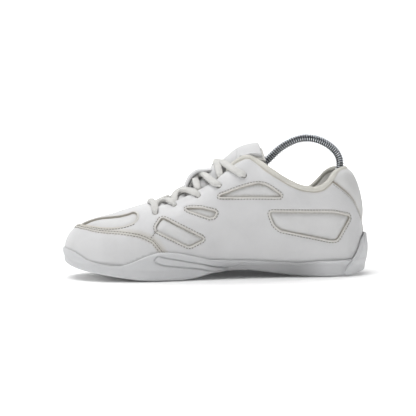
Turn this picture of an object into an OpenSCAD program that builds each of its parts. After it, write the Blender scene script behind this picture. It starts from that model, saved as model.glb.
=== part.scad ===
// Cheer shoe, right foot, with a coil-spring shoe tree fitted.
// +X runs from the toe to the heel, -Y is the medial side, +Z is up and the floor is z = 0.

/* [Sole] */
// Thickness of the outsole rubber
outsole_t = 2.4; // [1.8:0.1:3]
// Thickness of the wall of the sole that wraps up the side
lip_t = 2.3; // [1.8:0.1:2.8]
// Thickness of the sockliner
sockliner_t = 3; // [2:0.5:4]

/* [Upper] */
// Thickness of the outer leather
leather_t = 1.4; // [1:0.1:1.5]
// Radius of a lace hole
eyelet_r = 2.3; // [2.1:0.1:2.6]
// Radius of the lace
lace_r = 1.6; // [1.3:0.1:1.7]
// Thickness of the tongue
tongue_t = 4; // [3:0.5:5]

/* [Shoe tree] */
// Radius of the coil spring
spring_r = 3.6; // [3:0.1:4]
// Radius of the heel knob
knob_r = 15; // [13:0.5:16]

/* [Hidden] */

gap = 0.3;          // clearance between stacked layers
seam = 0.012;       // clearance between neighbouring panels, as a share of the wall's curve
centring = [-1.88, 0.88, 0];  // moves the whole shoe so that its box is centred on the origin

// ---- The form of the upper ----
// One row per station, from the toe tip to the back of the heel, on the medial side. Each holds the
// four control points of the wall's curve, from the feather edge up to the ridge or the collar edge,
// as [x, distance from the centre line, z]. The last two values are what the lateral side adds:
// to the half width, and to the height of the upper two points.
form = [
  [[-123, 0, 18.5],      [-127.5, 0, 31],      [-117, 0, 44.5],      [-104, 0, 48.3],    0, 0],
  [[-121.2, 10.5, 17.5], [-125.3, 12, 30.5],   [-114.5, 8.5, 44.8],  [-102.5, 0, 48.8],  0.3, 0],
  [[-115.5, 19.5, 15.5], [-119, 22, 29.5],     [-109, 15.5, 46],     [-99.5, 0, 49.6],   0.5, 0],
  [[-106, 27, 13.5],     [-108.5, 30.5, 29],   [-101, 21.5, 48.2],   [-94.5, 0, 51],     0.5, 0],
  [[-93, 33, 11.5],      [-95, 37, 30],        [-90, 25, 51.3],      [-87, 0, 52.7],     0.8, 0],
  [[-76, 37.5, 10],      [-77, 42, 33],        [-76, 27.5, 55.9],    [-75.5, 0, 56.1],   1.2, 0],
  [[-57, 39, 9],         [-57.5, 43.5, 36],    [-58, 27, 61.2],      [-58.5, 0, 60.8],   2, 0],
  [[-36, 37, 9],         [-36.5, 42, 41],      [-38, 26, 66],        [-39, 0, 65],       3, 0],
  [[-14, 33, 9.5],       [-14, 39, 46],        [-15, 27, 79],        [-16, 0, 77.5],     4.5, 0],
  [[8, 29.5, 10],        [8, 36, 50],          [8, 30, 95],          [8, 0, 94.5],       5.5, -0.5],
  [[26, 28, 10],         [26.5, 34.5, 50],     [26.5, 30, 106],      [26, 0, 108],       5.5, -1.5],
  [[42, 27.5, 10],       [43, 33.5, 42],       [43, 31.5, 78],       [41.5, 25, 92.5],   5, -3.5],
  [[60, 27.5, 10],       [60, 32.5, 36],       [60, 32.5, 62],       [60.5, 29.5, 80],   4, -5],
  [[78, 28, 10],         [79, 32.5, 34],       [79, 32.5, 58],       [78.5, 28.5, 75.5], 3, -5],
  [[95, 27.5, 9.5],      [97, 32, 34],         [97.5, 30.5, 66],     [95, 22.5, 86],     2, -2.5],
  [[110, 23, 9],         [113, 27, 33],        [112.5, 24.5, 72],    [105, 15, 89],      1.2, -0.5],
  [[120.5, 13.5, 8.5],   [124, 16, 32],        [122.5, 14, 72.5],    [111, 7.5, 89.8],   0.5, 0],
  [[125.5, 0, 8],        [130.3, 0, 32],       [128, 0, 72],         [113.5, 0, 89.8],   0, 0]
];
heel_u = len(form) - 1;
loop_n = 2 * heel_u;  // the loop runs from the toe along the medial side to the heel, and back

// The centre line bends to the medial side towards the toe.
function centre_y(x) = -6 * pow(max(0, min(1, -x / 125)), 1.4);
function placed(p, side, dw, dz) = [p[0], centre_y(p[0]) + side * (p[1] + dw), p[2] + dz];
function station(k) =
  let (lateral = k > heel_u, r = form[lateral ? loop_n - k : k], side = lateral ? 1 : -1,
       dw = lateral ? r[4] : 0, dz = lateral ? r[5] : 0)
  [placed(r[0], side, dw, 0), placed(r[1], side, dw, 0),
   placed(r[2], side, dw / 2, dz), placed(r[3], side, r[3][1] > 0 ? dw / 2 : 0, dz)];
stations = [for (k = [0:loop_n - 1]) station(k)];
function at(k) = stations[((k % loop_n) + loop_n) % loop_n];

// A curve from b to c, with neighbours a and d, at share t of the way.
function through(a, b, c, d, t) =
  0.5 * (2 * b + (c - a) * t + (2 * a - 5 * b + 4 * c - d) * t * t + (3 * b - a - 3 * c + d) * t * t * t);
function controls(u) = let (k = floor(u)) through(at(k - 1), at(k), at(k + 1), at(k + 2), u - k);
function weights(v) = [pow(1 - v, 3), 3 * v * pow(1 - v, 2), 3 * v * v * (1 - v), v * v * v];
function slopes(v) = [-3 * pow(1 - v, 2), 3 * (1 - v) * (1 - 3 * v), 3 * v * (2 - 3 * v), 3 * v * v];
function wall(u, v) = weights(v) * controls(u);
function unit(a) = a / norm(a);
function on_ridge(u, v) = v > 0.999 && abs(controls(u)[3][1] - centre_y(controls(u)[3][0])) < 0.01;
function normal_at(u, v) =
  let (w = min(v, 0.96), step = 0.04,
       n = unit(cross(weights(w) * (controls(u + step) - controls(u - step)), slopes(w) * controls(u))))
  on_ridge(u, v) ? unit([n[0], 0, n[2]]) : n;
// The point at (u, v), moved outwards by d from the outer leather's surface.
function off(u, v, d) = wall(u, v) + d * normal_at(u, v);
// The share v at which the wall at u reaches height z.
function height_v(u, z, lo = 0, hi = 1, n = 12) =
  n == 0 ? (lo + hi) / 2
  : let (m = (lo + hi) / 2) wall(u, m)[2] < z ? height_v(u, z, m, hi, n - 1) : height_v(u, z, lo, m, n - 1);
// The place round the loop counted from the toe on either side.
function medial_u(u) = let (w = ((u % loop_n) + loop_n) % loop_n) w <= heel_u ? w : loop_n - w;
function is_lateral(u) = ((u % loop_n) + loop_n) % loop_n > heel_u;
function mix(a, b, t) = a + (b - a) * t;
function steps(a, b, n) = [for (i = [0:n]) mix(a, b, i / n)];

// ---- Seam lines, as the share v at each place of the medial side ----
toe_cap_v = function(u) lookup(medial_u(u), [[0, 0.75], [1, 0.745], [2, 0.7], [2.9, 0.643], [3.5, 0.6],
  [4.2, 0.555], [4.7, 0.515], [5.2, 0.468], [5.6, 0.427], [5.9, 0.38], [6.2, 0.322], [6.6, 0.2]]);
heel_seam_v = function(u) lookup(medial_u(u), [[13.75, 1], [14.03, 0.9], [14.6, 0.778], [15.25, 0.671],
                                               [15.85, 0.566], [16.5, 0.435], [17, 0.33]]);
// The upper edge of the side panels: the throat, then the collar.
top_v = function(u) lookup(medial_u(u), [[5.9, 1], [6, 0.93], [6.15, 0.86], [6.3, 0.8], [7, 0.8],
  [7.9, 0.76], [8.6, 0.735], [9, 0.77], [9.3, 0.81], [9.65, 0.79], [10, 0.795], [10.4, 0.855],
  [10.75, 0.95], [11.2, 0.98], [12.9, 0.98], [13.2, 0.945], [13.55, 0.905], [13.9, 0.912], [14.4, 0.975],
  [14.9, 1], [17, 1]]);
// Heights of the top of the sole's side and of its lower edge.
function lip_z(u) = lookup(medial_u(u), [[0, 31], [0.75, 29.8], [1.85, 24.5], [2.55, 20.2], [3, 17.5],
  [3.75, 14.8], [4.7, 13.2], [5.05, 15], [5.4, 17.5], [5.75, 20.5], [6.35, 24], [6.75, 23.8], [7.15, 22.8],
  [7.5, 21], [7.9, 18.8], [8.25, 16.8], [9, 15.6], [10.25, 15], [12.4, 12.4], [13.35, 13.8], [15.2, 14.2],
  [17, 14.2]]);
medial_base = [[0, 13.5], [1, 12], [2, 9.8], [3, 7.6], [4, 5.2], [5, 2.6], [5.6, 1], [6.2, 0], [7.2, 0],
  [7.7, 1.4], [8.4, 5], [9, 6.6], [10, 6.6], [11, 4.6], [12, 1.6], [12.6, 0], [15.2, 0], [16, 1.8], [17, 3]];
lateral_base = [[0, 13.5], [1, 12], [2, 9.8], [3, 7.6], [4, 5.2], [5, 2.6], [5.6, 1], [6.2, 0], [7.2, 0],
  [8.4, 0.6], [11, 0.6], [12, 0], [15.2, 0], [16, 1.8], [17, 3]];
base_z = function(u) lookup(medial_u(u), is_lateral(u) ? lateral_base : medial_base);

// ---- Solids from grids ----
// A closed solid between two grids of the same size. With join_first or join_last, the grid's rows
// run round the toe or the heel, and its first or last column meets itself on the centre line.
// With closed, the last row meets the first.
module between(outer, inner, join_first = false, join_last = false, closed = false) {
  rows = len(outer);
  cols = len(outer[0]);
  n = rows * cols;
  function row(i, j) =
    let (k = i % rows, m = closed ? (rows - k) % rows : rows - 1 - k)
    (join_first && j == 0) || (join_last && j == cols - 1) ? min(k, m) : k;
  function index(i, j) = row(i, j) * cols + j;
  pairs = closed ? rows - 1 : rows - 2;
  skin = [for (i = [0:pairs], j = [0:cols - 2])
    each [[index(i, j), index(i + 1, j + 1), index(i, j + 1)],
          [index(i, j), index(i + 1, j), index(i + 1, j + 1)]]];
  function sides(j) = [for (i = [0:pairs]) let (a = index(i, j), b = index(i + 1, j))
    each [[a, a + n, b], [b, a + n, b + n]]];
  function ends(i) = [for (j = [0:cols - 2]) let (a = index(i, j), b = index(i, j + 1))
    each [[a, b, a + n], [b, b + n, a + n]]];
  function flipped(faces) = [for (f = faces) [f[2], f[1], f[0]]];
  polyhedron([for (r = outer) each r, for (r = inner) each r], concat(
    skin,
    [for (f = skin) [f[0] + n, f[2] + n, f[1] + n]],
    join_first ? [] : sides(0),
    join_last ? [] : flipped(sides(cols - 1)),
    closed ? [] : ends(0),
    closed ? [] : flipped(ends(rows - 1))));
}
// A layer of the upper, from depth d_out to depth d_in below the outer surface.
module layer(us, low, high, d_out, d_in, cols = 8, join_last = false) {
  places = [for (u = us) [for (t = steps(0, 1, cols)) [u, mix(low(u), high(u), t)]]];
  between([for (r = places) [for (p = r) off(p[0], p[1], -d_out)]],
          [for (r = places) [for (p = r) off(p[0], p[1], -d_in)]], join_last = join_last);
}
// A tube through the points of a route, with flat ends.
module tube(route, r, sides = 8) {
  n = len(route);
  tangents = [for (i = [0:n - 1]) unit(route[min(n - 1, i + 1)] - route[max(0, i - 1)])];
  function ring(i) =
    let (t = tangents[i], h = unit(cross(t, abs(t[1]) < 0.8 ? [0, 1, 0] : [1, 0, 0])), g = cross(t, h))
    [for (j = [0:sides - 1]) route[i] + r * (cos(360 * j / sides) * h + sin(360 * j / sides) * g)];
  // Each ring starts at the corner nearest to the last ring's first corner.
  function nearest(ring, p) = let (d = [for (q = ring) norm(q - p)]) search(min(d), d)[0];
  function turned(ring, k) = [for (j = [0:sides - 1]) ring[(j + k) % sides]];
  function rings(i, last) = i == n ? []
    : let (raw = ring(i), now = i == 0 ? raw : turned(raw, nearest(raw, last[0])))
      concat([now], rings(i + 1, now));
  polyhedron([for (one = rings(0, [])) each one], concat(
    [[for (j = [sides - 1:-1:0]) j]],
    [for (i = [0:n - 2], j = [0:sides - 1])
      let (a = i * sides + j, b = i * sides + (j + 1) % sides)
      each [[a, b, a + sides], [b, b + sides, a + sides]]],
    [[for (j = [0:sides - 1]) (n - 1) * sides + j]]));
}
// A smooth route through a few points, with n steps between each two.
function smooth(points, n) =
  let (last = len(points) - 1)
  concat([for (i = [0:last - 1], k = [0:n - 1])
            through(points[max(0, i - 1)], points[i], points[i + 1], points[min(last, i + 2)], k / n)],
         [points[last]]);

// ---- The flex zone across the ball ----
// The forefoot ends at the front plane and the rest of the shoe starts at the rear one.
hinge = [-56, 2];
front_lean = 15;
rear_lean = 12;
module wedge(grow = 0)
  translate([0, 100, 0]) rotate([90, 0, 0]) linear_extrude(200)
    polygon([[hinge[0] - 0.5 - grow + 10 * tan(front_lean), hinge[1] - 10],
             [hinge[0] + 0.5 + grow - 10 * tan(rear_lean), hinge[1] - 10],
             [hinge[0] + 0.5 + grow + 90 * tan(rear_lean), hinge[1] + 90],
             [hinge[0] - 0.5 - grow - 90 * tan(front_lean), hinge[1] + 90]]);
module inside_wedge() intersection() { children(); wedge(-gap / 2); }
module half_space(side, lean)
  translate([hinge[0] + side * (0.5 + gap / 2), 100, hinge[1]]) rotate([90, 0, 0]) linear_extrude(200)
    polygon([[-side * 10 * tan(lean), -10], [side * 200, -10],
             [side * 200, 120], [side * 120 * tan(lean), 120]]);
module forefoot_only() intersection() { children(); half_space(-1, front_lean); }
module rearfoot_only() intersection() { children(); half_space(1, rear_lean); }

// ---- Windows, in side view ----
toe_window = [[-108, 46.2], [-101.7, 48.6], [-93.6, 50.5], [-80, 52.2], [-69, 55.2], [-67, 53.5],
              [-66.8, 51.1], [-69.3, 48.5], [-73.5, 46.2], [-80.9, 44.6], [-96.9, 43.9], [-105, 44.6]];
fore_window = [[-47.8, 51], [-45, 51], [-13.5, 34.7], [-14, 33.2], [-22, 29.1], [-27, 29.4], [-50.3, 41],
               [-51.5, 44.3]];
mid_window = [[-26, 58.7], [-14, 58.6], [-3, 56.1], [-2, 54.9], [-4, 52.5], [-6.9, 51.6], [-24.7, 57.4]];
ankle_window = [[1.6, 68.8], [18.6, 74.9], [27, 77.2], [33.6, 78.2], [39.3, 77.3], [44.9, 74.2], [52.5, 68.6],
                [52, 68], [2.2, 68.2]];
heel_window = [[43.6, 54.9], [96.3, 53.8], [110, 51], [110.8, 49.2], [101, 33.2], [98, 31.4], [94.2, 31.5],
               [53.5, 40.2], [47.3, 45]];
// A prism through one side of the shoe, medial for side = -1 and lateral for side = 1.
// It starts at a distance from the middle.
module prism(outline, side, grow = 0, start = 4)
  rotate([90, 0, 0]) translate([0, 0, side < 0 ? start : -start - 70]) linear_extrude(70)
    offset(delta = grow, chamfer = true) polygon(outline);
// The toe's windows leave a central strip, which follows the bend of the centre line.
function strip_edge(side) = side < 0 ? 11 : 3;
patch_edge = 3;  // how far a patch reaches past its window
patch_out = leather_t + gap;
patch_in = patch_out + 0.9;
stiff_out = patch_in + gap;
stiff_in = stiff_out + 0.8;
lining_out = stiff_in + gap;
lining_in = lining_out + 0.8;

// ---- Colours ----
white_leather = [0.93, 0.93, 0.93];
patch_leather = [0.9, 0.9, 0.89];
sole_white = [0.86, 0.87, 0.88];
cream = [0.9, 0.89, 0.85];
board_brown = [0.72, 0.62, 0.48];
stiffener_grey = [0.6, 0.6, 0.58];
steel = [0.55, 0.57, 0.6];
tree_plastic = [0.12, 0.12, 0.13];

near_feather = function(u) 0.025;
full_height = function(u) 1;

// ---- Sole ----
// A point of the centre line under or over the place u, at height z.
function spine(u, z) = let (x = controls(u)[3][0]) [x, centre_y(x), z];
feather_z = function(u) wall(u, 0)[2];
// A point on the sole's side at height z, moved out by d from the leather's surface.
function side_point(u, z, d) =
  let (low = feather_z(u) + 0.5, p = off(u, height_v(u, max(z, low)), d)) [p[0], p[1], z];
function inward(u, p, d) = let (c = spine(u, p[2])) p + unit(c - p) * d;
function mean_at(u, f) = (f(u) + f(loop_n - u)) / 2;
// The underside of the midsole: above the outsole where there is one, and bare at the waist.
under_z = function(u) base_z(u) + lookup(medial_u(u), [[0, outsole_t], [7.6, outsole_t], [8, 0],
                                                       [11.6, 0], [12, outsole_t], [17, outsole_t]]);
heel_cup_from = 15.2;
low_top = 9.9;
// Under the heel cup the sole's side stays low.
function tray_top(u) = medial_u(u) > heel_cup_from - 0.45 ? low_top : lip_z(u);
round_in = 3;   // how far the lower edge is rounded in
flat_in = 12;   // how far in from the side the middle of the sole starts
wall_out = lip_t + gap;
// The wall stands straight from here up, above its rounded lower edge.
round_h = 3;
least_h = 3.5;
module tray(us) {
  outer = [for (u = us)
    let (z = under_z(u), corner = side_point(u, z, wall_out), top = tray_top(u))
    [spine(u, mean_at(u, under_z)), inward(u, corner, flat_in), inward(u, corner, round_in),
     inward(u, side_point(u, z + 1, wall_out), 1), side_point(u, z + round_h, wall_out),
     side_point(u, mix(z + round_h, top, 0.6), wall_out),
     side_point(u, max(top, z + least_h), wall_out - 0.5)]];
  inner = [for (u = us)
    let (z = feather_z(u) - gap, corner = side_point(u, z, gap), top = max(tray_top(u), under_z(u) + least_h))
    [spine(u, z), inward(u, corner, flat_in), inward(u, corner, 2 * round_in), inward(u, corner, round_in),
     corner,
     side_point(u, mix(z + 0.8, top, 0.5), gap), side_point(u, top, gap)]];
  between(outer, inner, join_first = true);
}
// An outsole pad under the places us.
module pad(us) {
  top_h = outsole_t - gap;
  function rim(u, h) =
    inward(u, side_point(u, under_z(u), wall_out), round_in) + [0, 0, base_z(u) + h - under_z(u)];
  function across(u, h, rim_in) =
    [spine(u, mean_at(u, base_z) + h), inward(u, rim(u, h), flat_in - round_in),
     inward(u, rim(u, h), rim_in)];
  between([for (u = us) across(u, 0, 0.8)], [for (u = us) across(u, top_h, 0)], join_first = true);
}
// A plate on the floor of the shoe, between two heights above the feather edge.
module plate(us, low, high, inset, closed = false) {
  function row(u, dz) = let (edge = inward(u, wall(u, 0) + [0, 0, dz], inset))
    let (middle = spine(u, mean_at(u, feather_z) + dz)) [middle, mix(middle, edge, 0.5), edge];
  between([for (u = us) row(u, low)], [for (u = us) row(u, high)], join_first = true, closed = closed);
}
// An outsole pad uses the same places as the midsole over it, so that the two fit.
toe_us = steps(-6.4, 6.4, 26);
ball_us = steps(-9, 9, 36);
heel_us = steps(9.05, loop_n - 9.05, 40);
function trimmed(list, n) = [for (i = [n:len(list) - 1 - n]) list[i]];
module outsole_toe() color(sole_white) forefoot_only() pad(toe_us);
module outsole_ball() color(sole_white) rearfoot_only() pad(trimmed(ball_us, 3));
module outsole_heel() color(sole_white) pad(trimmed(heel_us, 8));
module midsole_toe() color(sole_white) forefoot_only() tray(toe_us);
module midsole_ball() color(sole_white) rearfoot_only() tray(ball_us);
module midsole_heel() color(sole_white) tray(heel_us);
board_top = 1.5;
board_in = 5.8;
sockliner_from = board_top + 2 * gap;
module toe_board() color(board_brown) forefoot_only() plate(steps(-6.8, 6.8, 22), 0, board_top, board_in);
module heel_board() color(board_brown) rearfoot_only()
  plate(steps(5.6, loop_n - 5.6, 36), 0, board_top, board_in);
module sockliner() color(cream)
  plate([for (k = [0:31]) loop_n * k / 32], sockliner_from, sockliner_from + sockliner_t, 6.4, closed = true);
// The cup hugs the back of the heel above the sole's side.
cup_low_v = function(u) height_v(u, low_top + 1);
cup_high_v = function(u)
  height_v(u, lookup(medial_u(u), [[15.2, 13.5], [15.6, 18], [16, 24], [16.5, 31], [17, 34.5]]));
module heel_cup() color(sole_white)
  layer(steps(heel_cup_from, loop_n - heel_cup_from, 16), cup_low_v, cup_high_v, -gap - lip_t, -gap, 4);

// ---- Upper ----
// A layer that crosses the ridge from one side to the other.
module saddle(us, low, high, d_out, d_in, cols = 8) {
  function share(u, t) = mix(low(u), high(u), t);
  places = [for (u = us) concat([for (t = steps(0, 1, cols)) [u, share(u, t)]],
                                [for (t = steps(1 - 1 / cols, 0, cols - 1)) [loop_n - u, share(u, t)]])];
  between([for (r = places) [for (p = r) off(p[0], p[1], -d_out)]],
          [for (r = places) [for (p = r) off(p[0], p[1], -d_in)]]);
}
eyelets = [[6.34, 0.677], [7.12, 0.726], [7.97, 0.68], [8.71, 0.653], [9.77, 0.614]];
module lace_hole(u, v) {
  p = wall(u, v);
  n = normal_at(u, v);
  translate(p) rotate([0, acos(n[2]), atan2(n[1], n[0])])
    cylinder(h = 12, r = eyelet_r, center = true, $fn = 24);
}
module throat_cut()
  linear_extrude(120) polygon(concat(
    [for (u = steps(5.95, 7.6, 12)) let (p = wall(u, top_v(u))) [p[0], p[1]]],
    [for (u = steps(7.6, 5.95, 12)) let (p = wall(loop_n - u, top_v(u))) [p[0], p[1]]]));
module toe_cap() color(white_leather) forefoot_only()
  layer(steps(-6.6, 6.6, 28), near_feather, function(u) toe_cap_v(u) - seam, 0, leather_t, 7);
module toe_vamp() color(white_leather) forefoot_only() difference() {
  layer(steps(-6.6, 6.6, 28), toe_cap_v, full_height, 0, leather_t, 7, join_last = true);
  for (side = [-1, 1]) prism(toe_window, side, 0, strip_edge(side));
}
module toe_patch(side) color(patch_leather) forefoot_only() intersection() {
  layer(side < 0 ? steps(0.3, 6.4, 16) : steps(-6.4, -0.3, 16), function(u) toe_cap_v(u) - 0.04,
        function(u) 0.97, patch_out, patch_in, 6);
  prism(toe_window, side, patch_edge, strip_edge(side) - 2);
}
module toe_puff() color(stiffener_grey)
  layer(steps(-4.2, 4.2, 20), near_feather, full_height, stiff_out, stiff_in, 6, join_last = true);
module vamp_lining() color(cream) forefoot_only()
  layer(steps(-6.8, 6.8, 30), near_feather, full_height, lining_out, lining_in, 7, join_last = true);
module flex_vamp() color(white_leather) inside_wedge() difference() {
  saddle(steps(4.8, 7.6, 10), near_feather, full_height, 0, leather_t, 7);
  throat_cut();
  for (side = [-1, 1]) prism(fore_window, side);
  lace_hole(eyelets[0][0], eyelets[0][1]);
  lace_hole(loop_n - eyelets[0][0], eyelets[0][1]);
}
module flex_web() color(sole_white) inside_wedge() tray(steps(-7.4, 7.4, 30));
patch_low = function(u) 0.1;
patch_high = function(u) top_v(u) - 0.1;
module side_patch(outline, us, side) color(patch_leather) intersection() {
  layer(side < 0 ? us : [for (k = [len(us) - 1:-1:0]) loop_n - us[k]], patch_low, patch_high,
        patch_out, patch_in, 8);
  prism(outline, side, patch_edge);
}
fore_places = steps(5.6, 8.4, 10);
mid_places = steps(7, 9.2, 7);
ankle_places = steps(8.4, 11.9, 9);
heel_places = steps(10.6, 15.6, 12);
// The front patch starts in the flex zone, and it is cut back round the first lace hole.
module fore_patch(side) difference() {
  side_patch(fore_window, fore_places, side);
  translate([gap, 0, 0]) half_space(-1, front_lean);
  lace_hole(side < 0 ? eyelets[0][0] : loop_n - eyelets[0][0], eyelets[0][1]);
}
quarter_top = function(u) medial_u(u) < 9 ? top_v(u)
  : medial_u(u) < 14.1 ? min(top_v(u) - 0.045, heel_seam_v(u) - seam) : heel_seam_v(u) - seam;
module quarter(side) color(white_leather) rearfoot_only() difference() {
  layer(side < 0 ? steps(6, heel_u - 0.02, 33) : steps(heel_u + 0.02, loop_n - 6, 33), near_feather,
        quarter_top, 0, leather_t, 7);
  for (outline = [fore_window, mid_window, ankle_window, heel_window]) prism(outline, side);
  for (e = eyelets) lace_hole(side < 0 ? e[0] : loop_n - e[0], e[1]);
}
module heel_panel() color(white_leather)
  layer(steps(14.25, loop_n - 14.25, 24), heel_seam_v, function(u) 0.955, 0, leather_t, 8);
module heel_counter() color(stiffener_grey)
  layer(steps(13.2, loop_n - 13.2, 22), near_feather, function(u) 0.74, stiff_out, stiff_in, 7);
foam_low = 0.22;  // how far below the edge the collar's foam starts, as a share of the wall
module quarter_lining() color(cream) rearfoot_only()
  layer(steps(6, loop_n - 6, 38), near_feather,
        function(u) lookup(medial_u(u), [[6, 0.52], [9, 0.52], [9.6, 0.55], [10.4, 0.62],
                                         [11, 0.755], [17, 0.755]]),
        lining_out, lining_in, 7);
foam_t = 2.2;    // thickness of the collar's foam
foam_in = stiff_out + foam_t;
collar_from = 9.2;
padding_from = 10;  // the padding starts behind the last lace hole
counter_top = 0.765;  // above the heel counter and the lining of the sides
collar_low = function(u) medial_u(u) < 11 ? top_v(u) - foam_low : max(top_v(u) - foam_low, counter_top);
collar_high = function(u) top_v(u) - 0.065;
module collar_foam() color(cream)
  layer(steps(padding_from, loop_n - padding_from, 40), function(u) collar_low(u) + 0.01, collar_high,
        stiff_out, foam_in, 4);
module collar_lining() color(cream)
  layer(steps(padding_from, loop_n - padding_from, 40), collar_low, collar_high,
        foam_in + gap, foam_in + gap + 0.8, 3);
module collar_binding() color(cream)
  tube([for (u = steps(collar_from, loop_n - collar_from, 48)) off(u, top_v(u), -2.6)], 2);

// ---- Tongue ----
// How deep the tongue lies under the surface: shallow along the ridge, deep under the eyelets.
function tongue_depth(v) = lookup(v, [[0.5, 7], [0.84, 6], [0.93, 2.6], [1, 1.3]]);
function tongue_point(u, v, d) = let (p = off(u, v, -tongue_depth(v) - d))
  v > 0.999 ? [p[0], centre_y(p[0]), p[2]] : p;
module tongue() {
  us = steps(6.6, 9.35, 14);
  function row(u, d) = concat([for (v = steps(0.56, 1, 8)) tongue_point(u, v, d)],
                              [for (v = steps(0.945, 0.56, 7)) tongue_point(loop_n - u, v, d)]);
  color(white_leather) rearfoot_only()
    between([for (u = us) row(u, 0)], [for (u = us) row(u, tongue_t)]);
}
// The free end, as rows of [x, z, half width, droop of the edges].
tongue_end = [[19.5, 103, 6.5, 1.5], [23, 105.8, 8, 2], [27, 108, 12, 4], [31, 109.8, 15, 6],
              [36, 111.3, 15, 6.5]];
tongue_rise = 28;  // how steeply the free end rises towards its tip
module tongue_top() {
  normal = [-sin(tongue_rise), 0, cos(tongue_rise)];
  function row(r, d) = [for (t = steps(-1, 1, 10)) [r[0], t * r[2], r[1]] - normal * (r[3] * t * t + d)];
  color(white_leather) between([for (r = tongue_end) row(r, 0)], [for (r = tongue_end) row(r, tongue_t)]);
}
// A strap on the tongue that the laces pass under.
loop_path = [[-23.5, 73.2], [-22.6, 80], [-19.5, 86.2], [-14, 89.6], [-8, 90.6], [-3.5, 89.4], [-0.5, 87.6]];
loop_half_w = 6;
loop_t = 1.2;
module tongue_loop() {
  path = smooth([for (p = loop_path) [p[0], 0, p[1]]], 2);
  n = len(path) - 1;
  function inner(i) =
    let (t = unit(path[min(n, i + 1)] - path[max(0, i - 1)])) path[i] + loop_t * [t[2], 0, -t[0]];
  function row(p) = [for (y = [loop_half_w, 0, -loop_half_w]) [p[0], y + centre_y(p[0]), p[2]]];
  color(white_leather) between([for (p = path) row(p)], [for (i = [0:n]) row(inner(i))]);
}

// ---- Lace ----
// One end runs over the front row and then both ends cross from row to row, each coming up from under
// the throat's edge and going down into the next eyelet on the other side.
lace_under = leather_t + gap + lace_r + 0.1;
lace_over = lace_r + gap;
function side_u(u, side) = side < 0 ? u : loop_n - u;
function entry(k, side) = let (u = side_u(eyelets[k][0], side), v = eyelets[k][1])
  [off(u, v + 0.02, lace_over), off(u, v, -0.7), off(u, v + 0.01, -lace_under)];
function over_edge(k, side) = off(side_u(eyelets[k][0] - 0.06, side), top_v(eyelets[k][0]) - 0.01, lace_over);
function crossing(k, side, high) =
  let (ua = eyelets[k][0] + 0.12, ub = eyelets[k + 1][0] - 0.15, um = mix(ua, ub, 0.36),
       ridge = off(um, 1, (high ? 3 : 1) * lace_r + 0.3))
  concat([off(side_u(ua, side), top_v(ua) + 0.035, -lace_under + 0.4),
          off(side_u(mix(ua, um, 0.5), side), 0.925, high ? 1.2 : 0),
          [ridge[0], centre_y(ridge[0]), ridge[2]],
          off(side_u(mix(um, ub, 0.6), -side), 0.915, lace_over + (high ? 1 : 0)),
          over_edge(k + 1, -side)],
         entry(k + 1, -side));
function climb(k, side, high) = k == 4 ? []
  : concat(crossing(k, side, high), climb(k + 1, -side, high));
function reversed(list) = [for (i = [len(list) - 1:-1:0]) list[i]];
module lace() {
  u = eyelets[0][0];
  bar = [off(u, 0.8, lace_over), off(u, 0.92, lace_over), off(u, 1, lace_over + 0.4),
         off(loop_n - u, 0.92, lace_over), off(loop_n - u, 0.8, lace_over)];
  color(cream) tube(concat(reversed(concat(entry(0, -1), climb(0, -1, true))), bar,
              concat(entry(0, 1), climb(0, 1, false))), lace_r);
}

// ---- Shoe tree ----
spring_path = [[-76, 32.5], [-66, 34], [-45, 38], [-20, 49], [4, 64], [25, 80], [44.7, 95.4], [54.4, 104.6],
  [62.9, 110.3], [72.2, 114], [80.8, 114.8], [88, 113.3], [93.3, 111], [98, 108], [102.2, 104], [105, 99.2],
  [106.1, 94], [105.7, 88.5], [105.7, 83], [106.2, 72], [107, 61], [107, 52]];
spring_route = smooth([for (p = spring_path) [p[0], centre_y(p[0]), p[1]]], 3);
knob_centre = [107, 0, 42];
toe_form_front = [-94, 31, 10];
toe_form_back = [-80, 31, 14];
socket_t = 1.2;
socket_bore = spring_r + 0.5;
socket_r = socket_bore + socket_t;
module toe_socket_place() translate(spring_route[0]) rotate([0, 90 - atan2(1.5, 10), 0]) children();
module knob_socket_place() translate(knob_centre + [0, 0, 10]) children();
module tree_toe_form() color(tree_plastic) difference() {
  hull() {
    translate([toe_form_front[0], centre_y(toe_form_front[0]), toe_form_front[1]])
      sphere(toe_form_front[2], $fn = 24);
    for (side = [-1, 1])
      translate([toe_form_back[0], centre_y(toe_form_back[0]) + 9 * side, toe_form_back[1]])
        sphere(toe_form_back[2], $fn = 28);
  }
  toe_socket_place() cylinder(h = 40, r = socket_r + 0.05, $fn = 32);
}
module socket(h) difference() {
  cylinder(h = h, r = socket_r, $fn = 32);
  translate([0, 0, 1.5]) cylinder(h = h, r = socket_bore, $fn = 32);
}
module tree_toe_socket() color(steel) toe_socket_place() translate([0, 0, 0.05]) socket(9);
module tree_knob() color(tree_plastic) difference() {
  translate(knob_centre) sphere(knob_r, $fn = 48);
  knob_socket_place() cylinder(h = 40, r = socket_r + 0.05, $fn = 32);
}
module tree_knob_socket() color(steel) knob_socket_place() translate([0, 0, 0.05]) socket(12);
module tree_spring() color(steel) tube([for (i = [1:len(spring_route) - 2]) spring_route[i]], spring_r);

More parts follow.
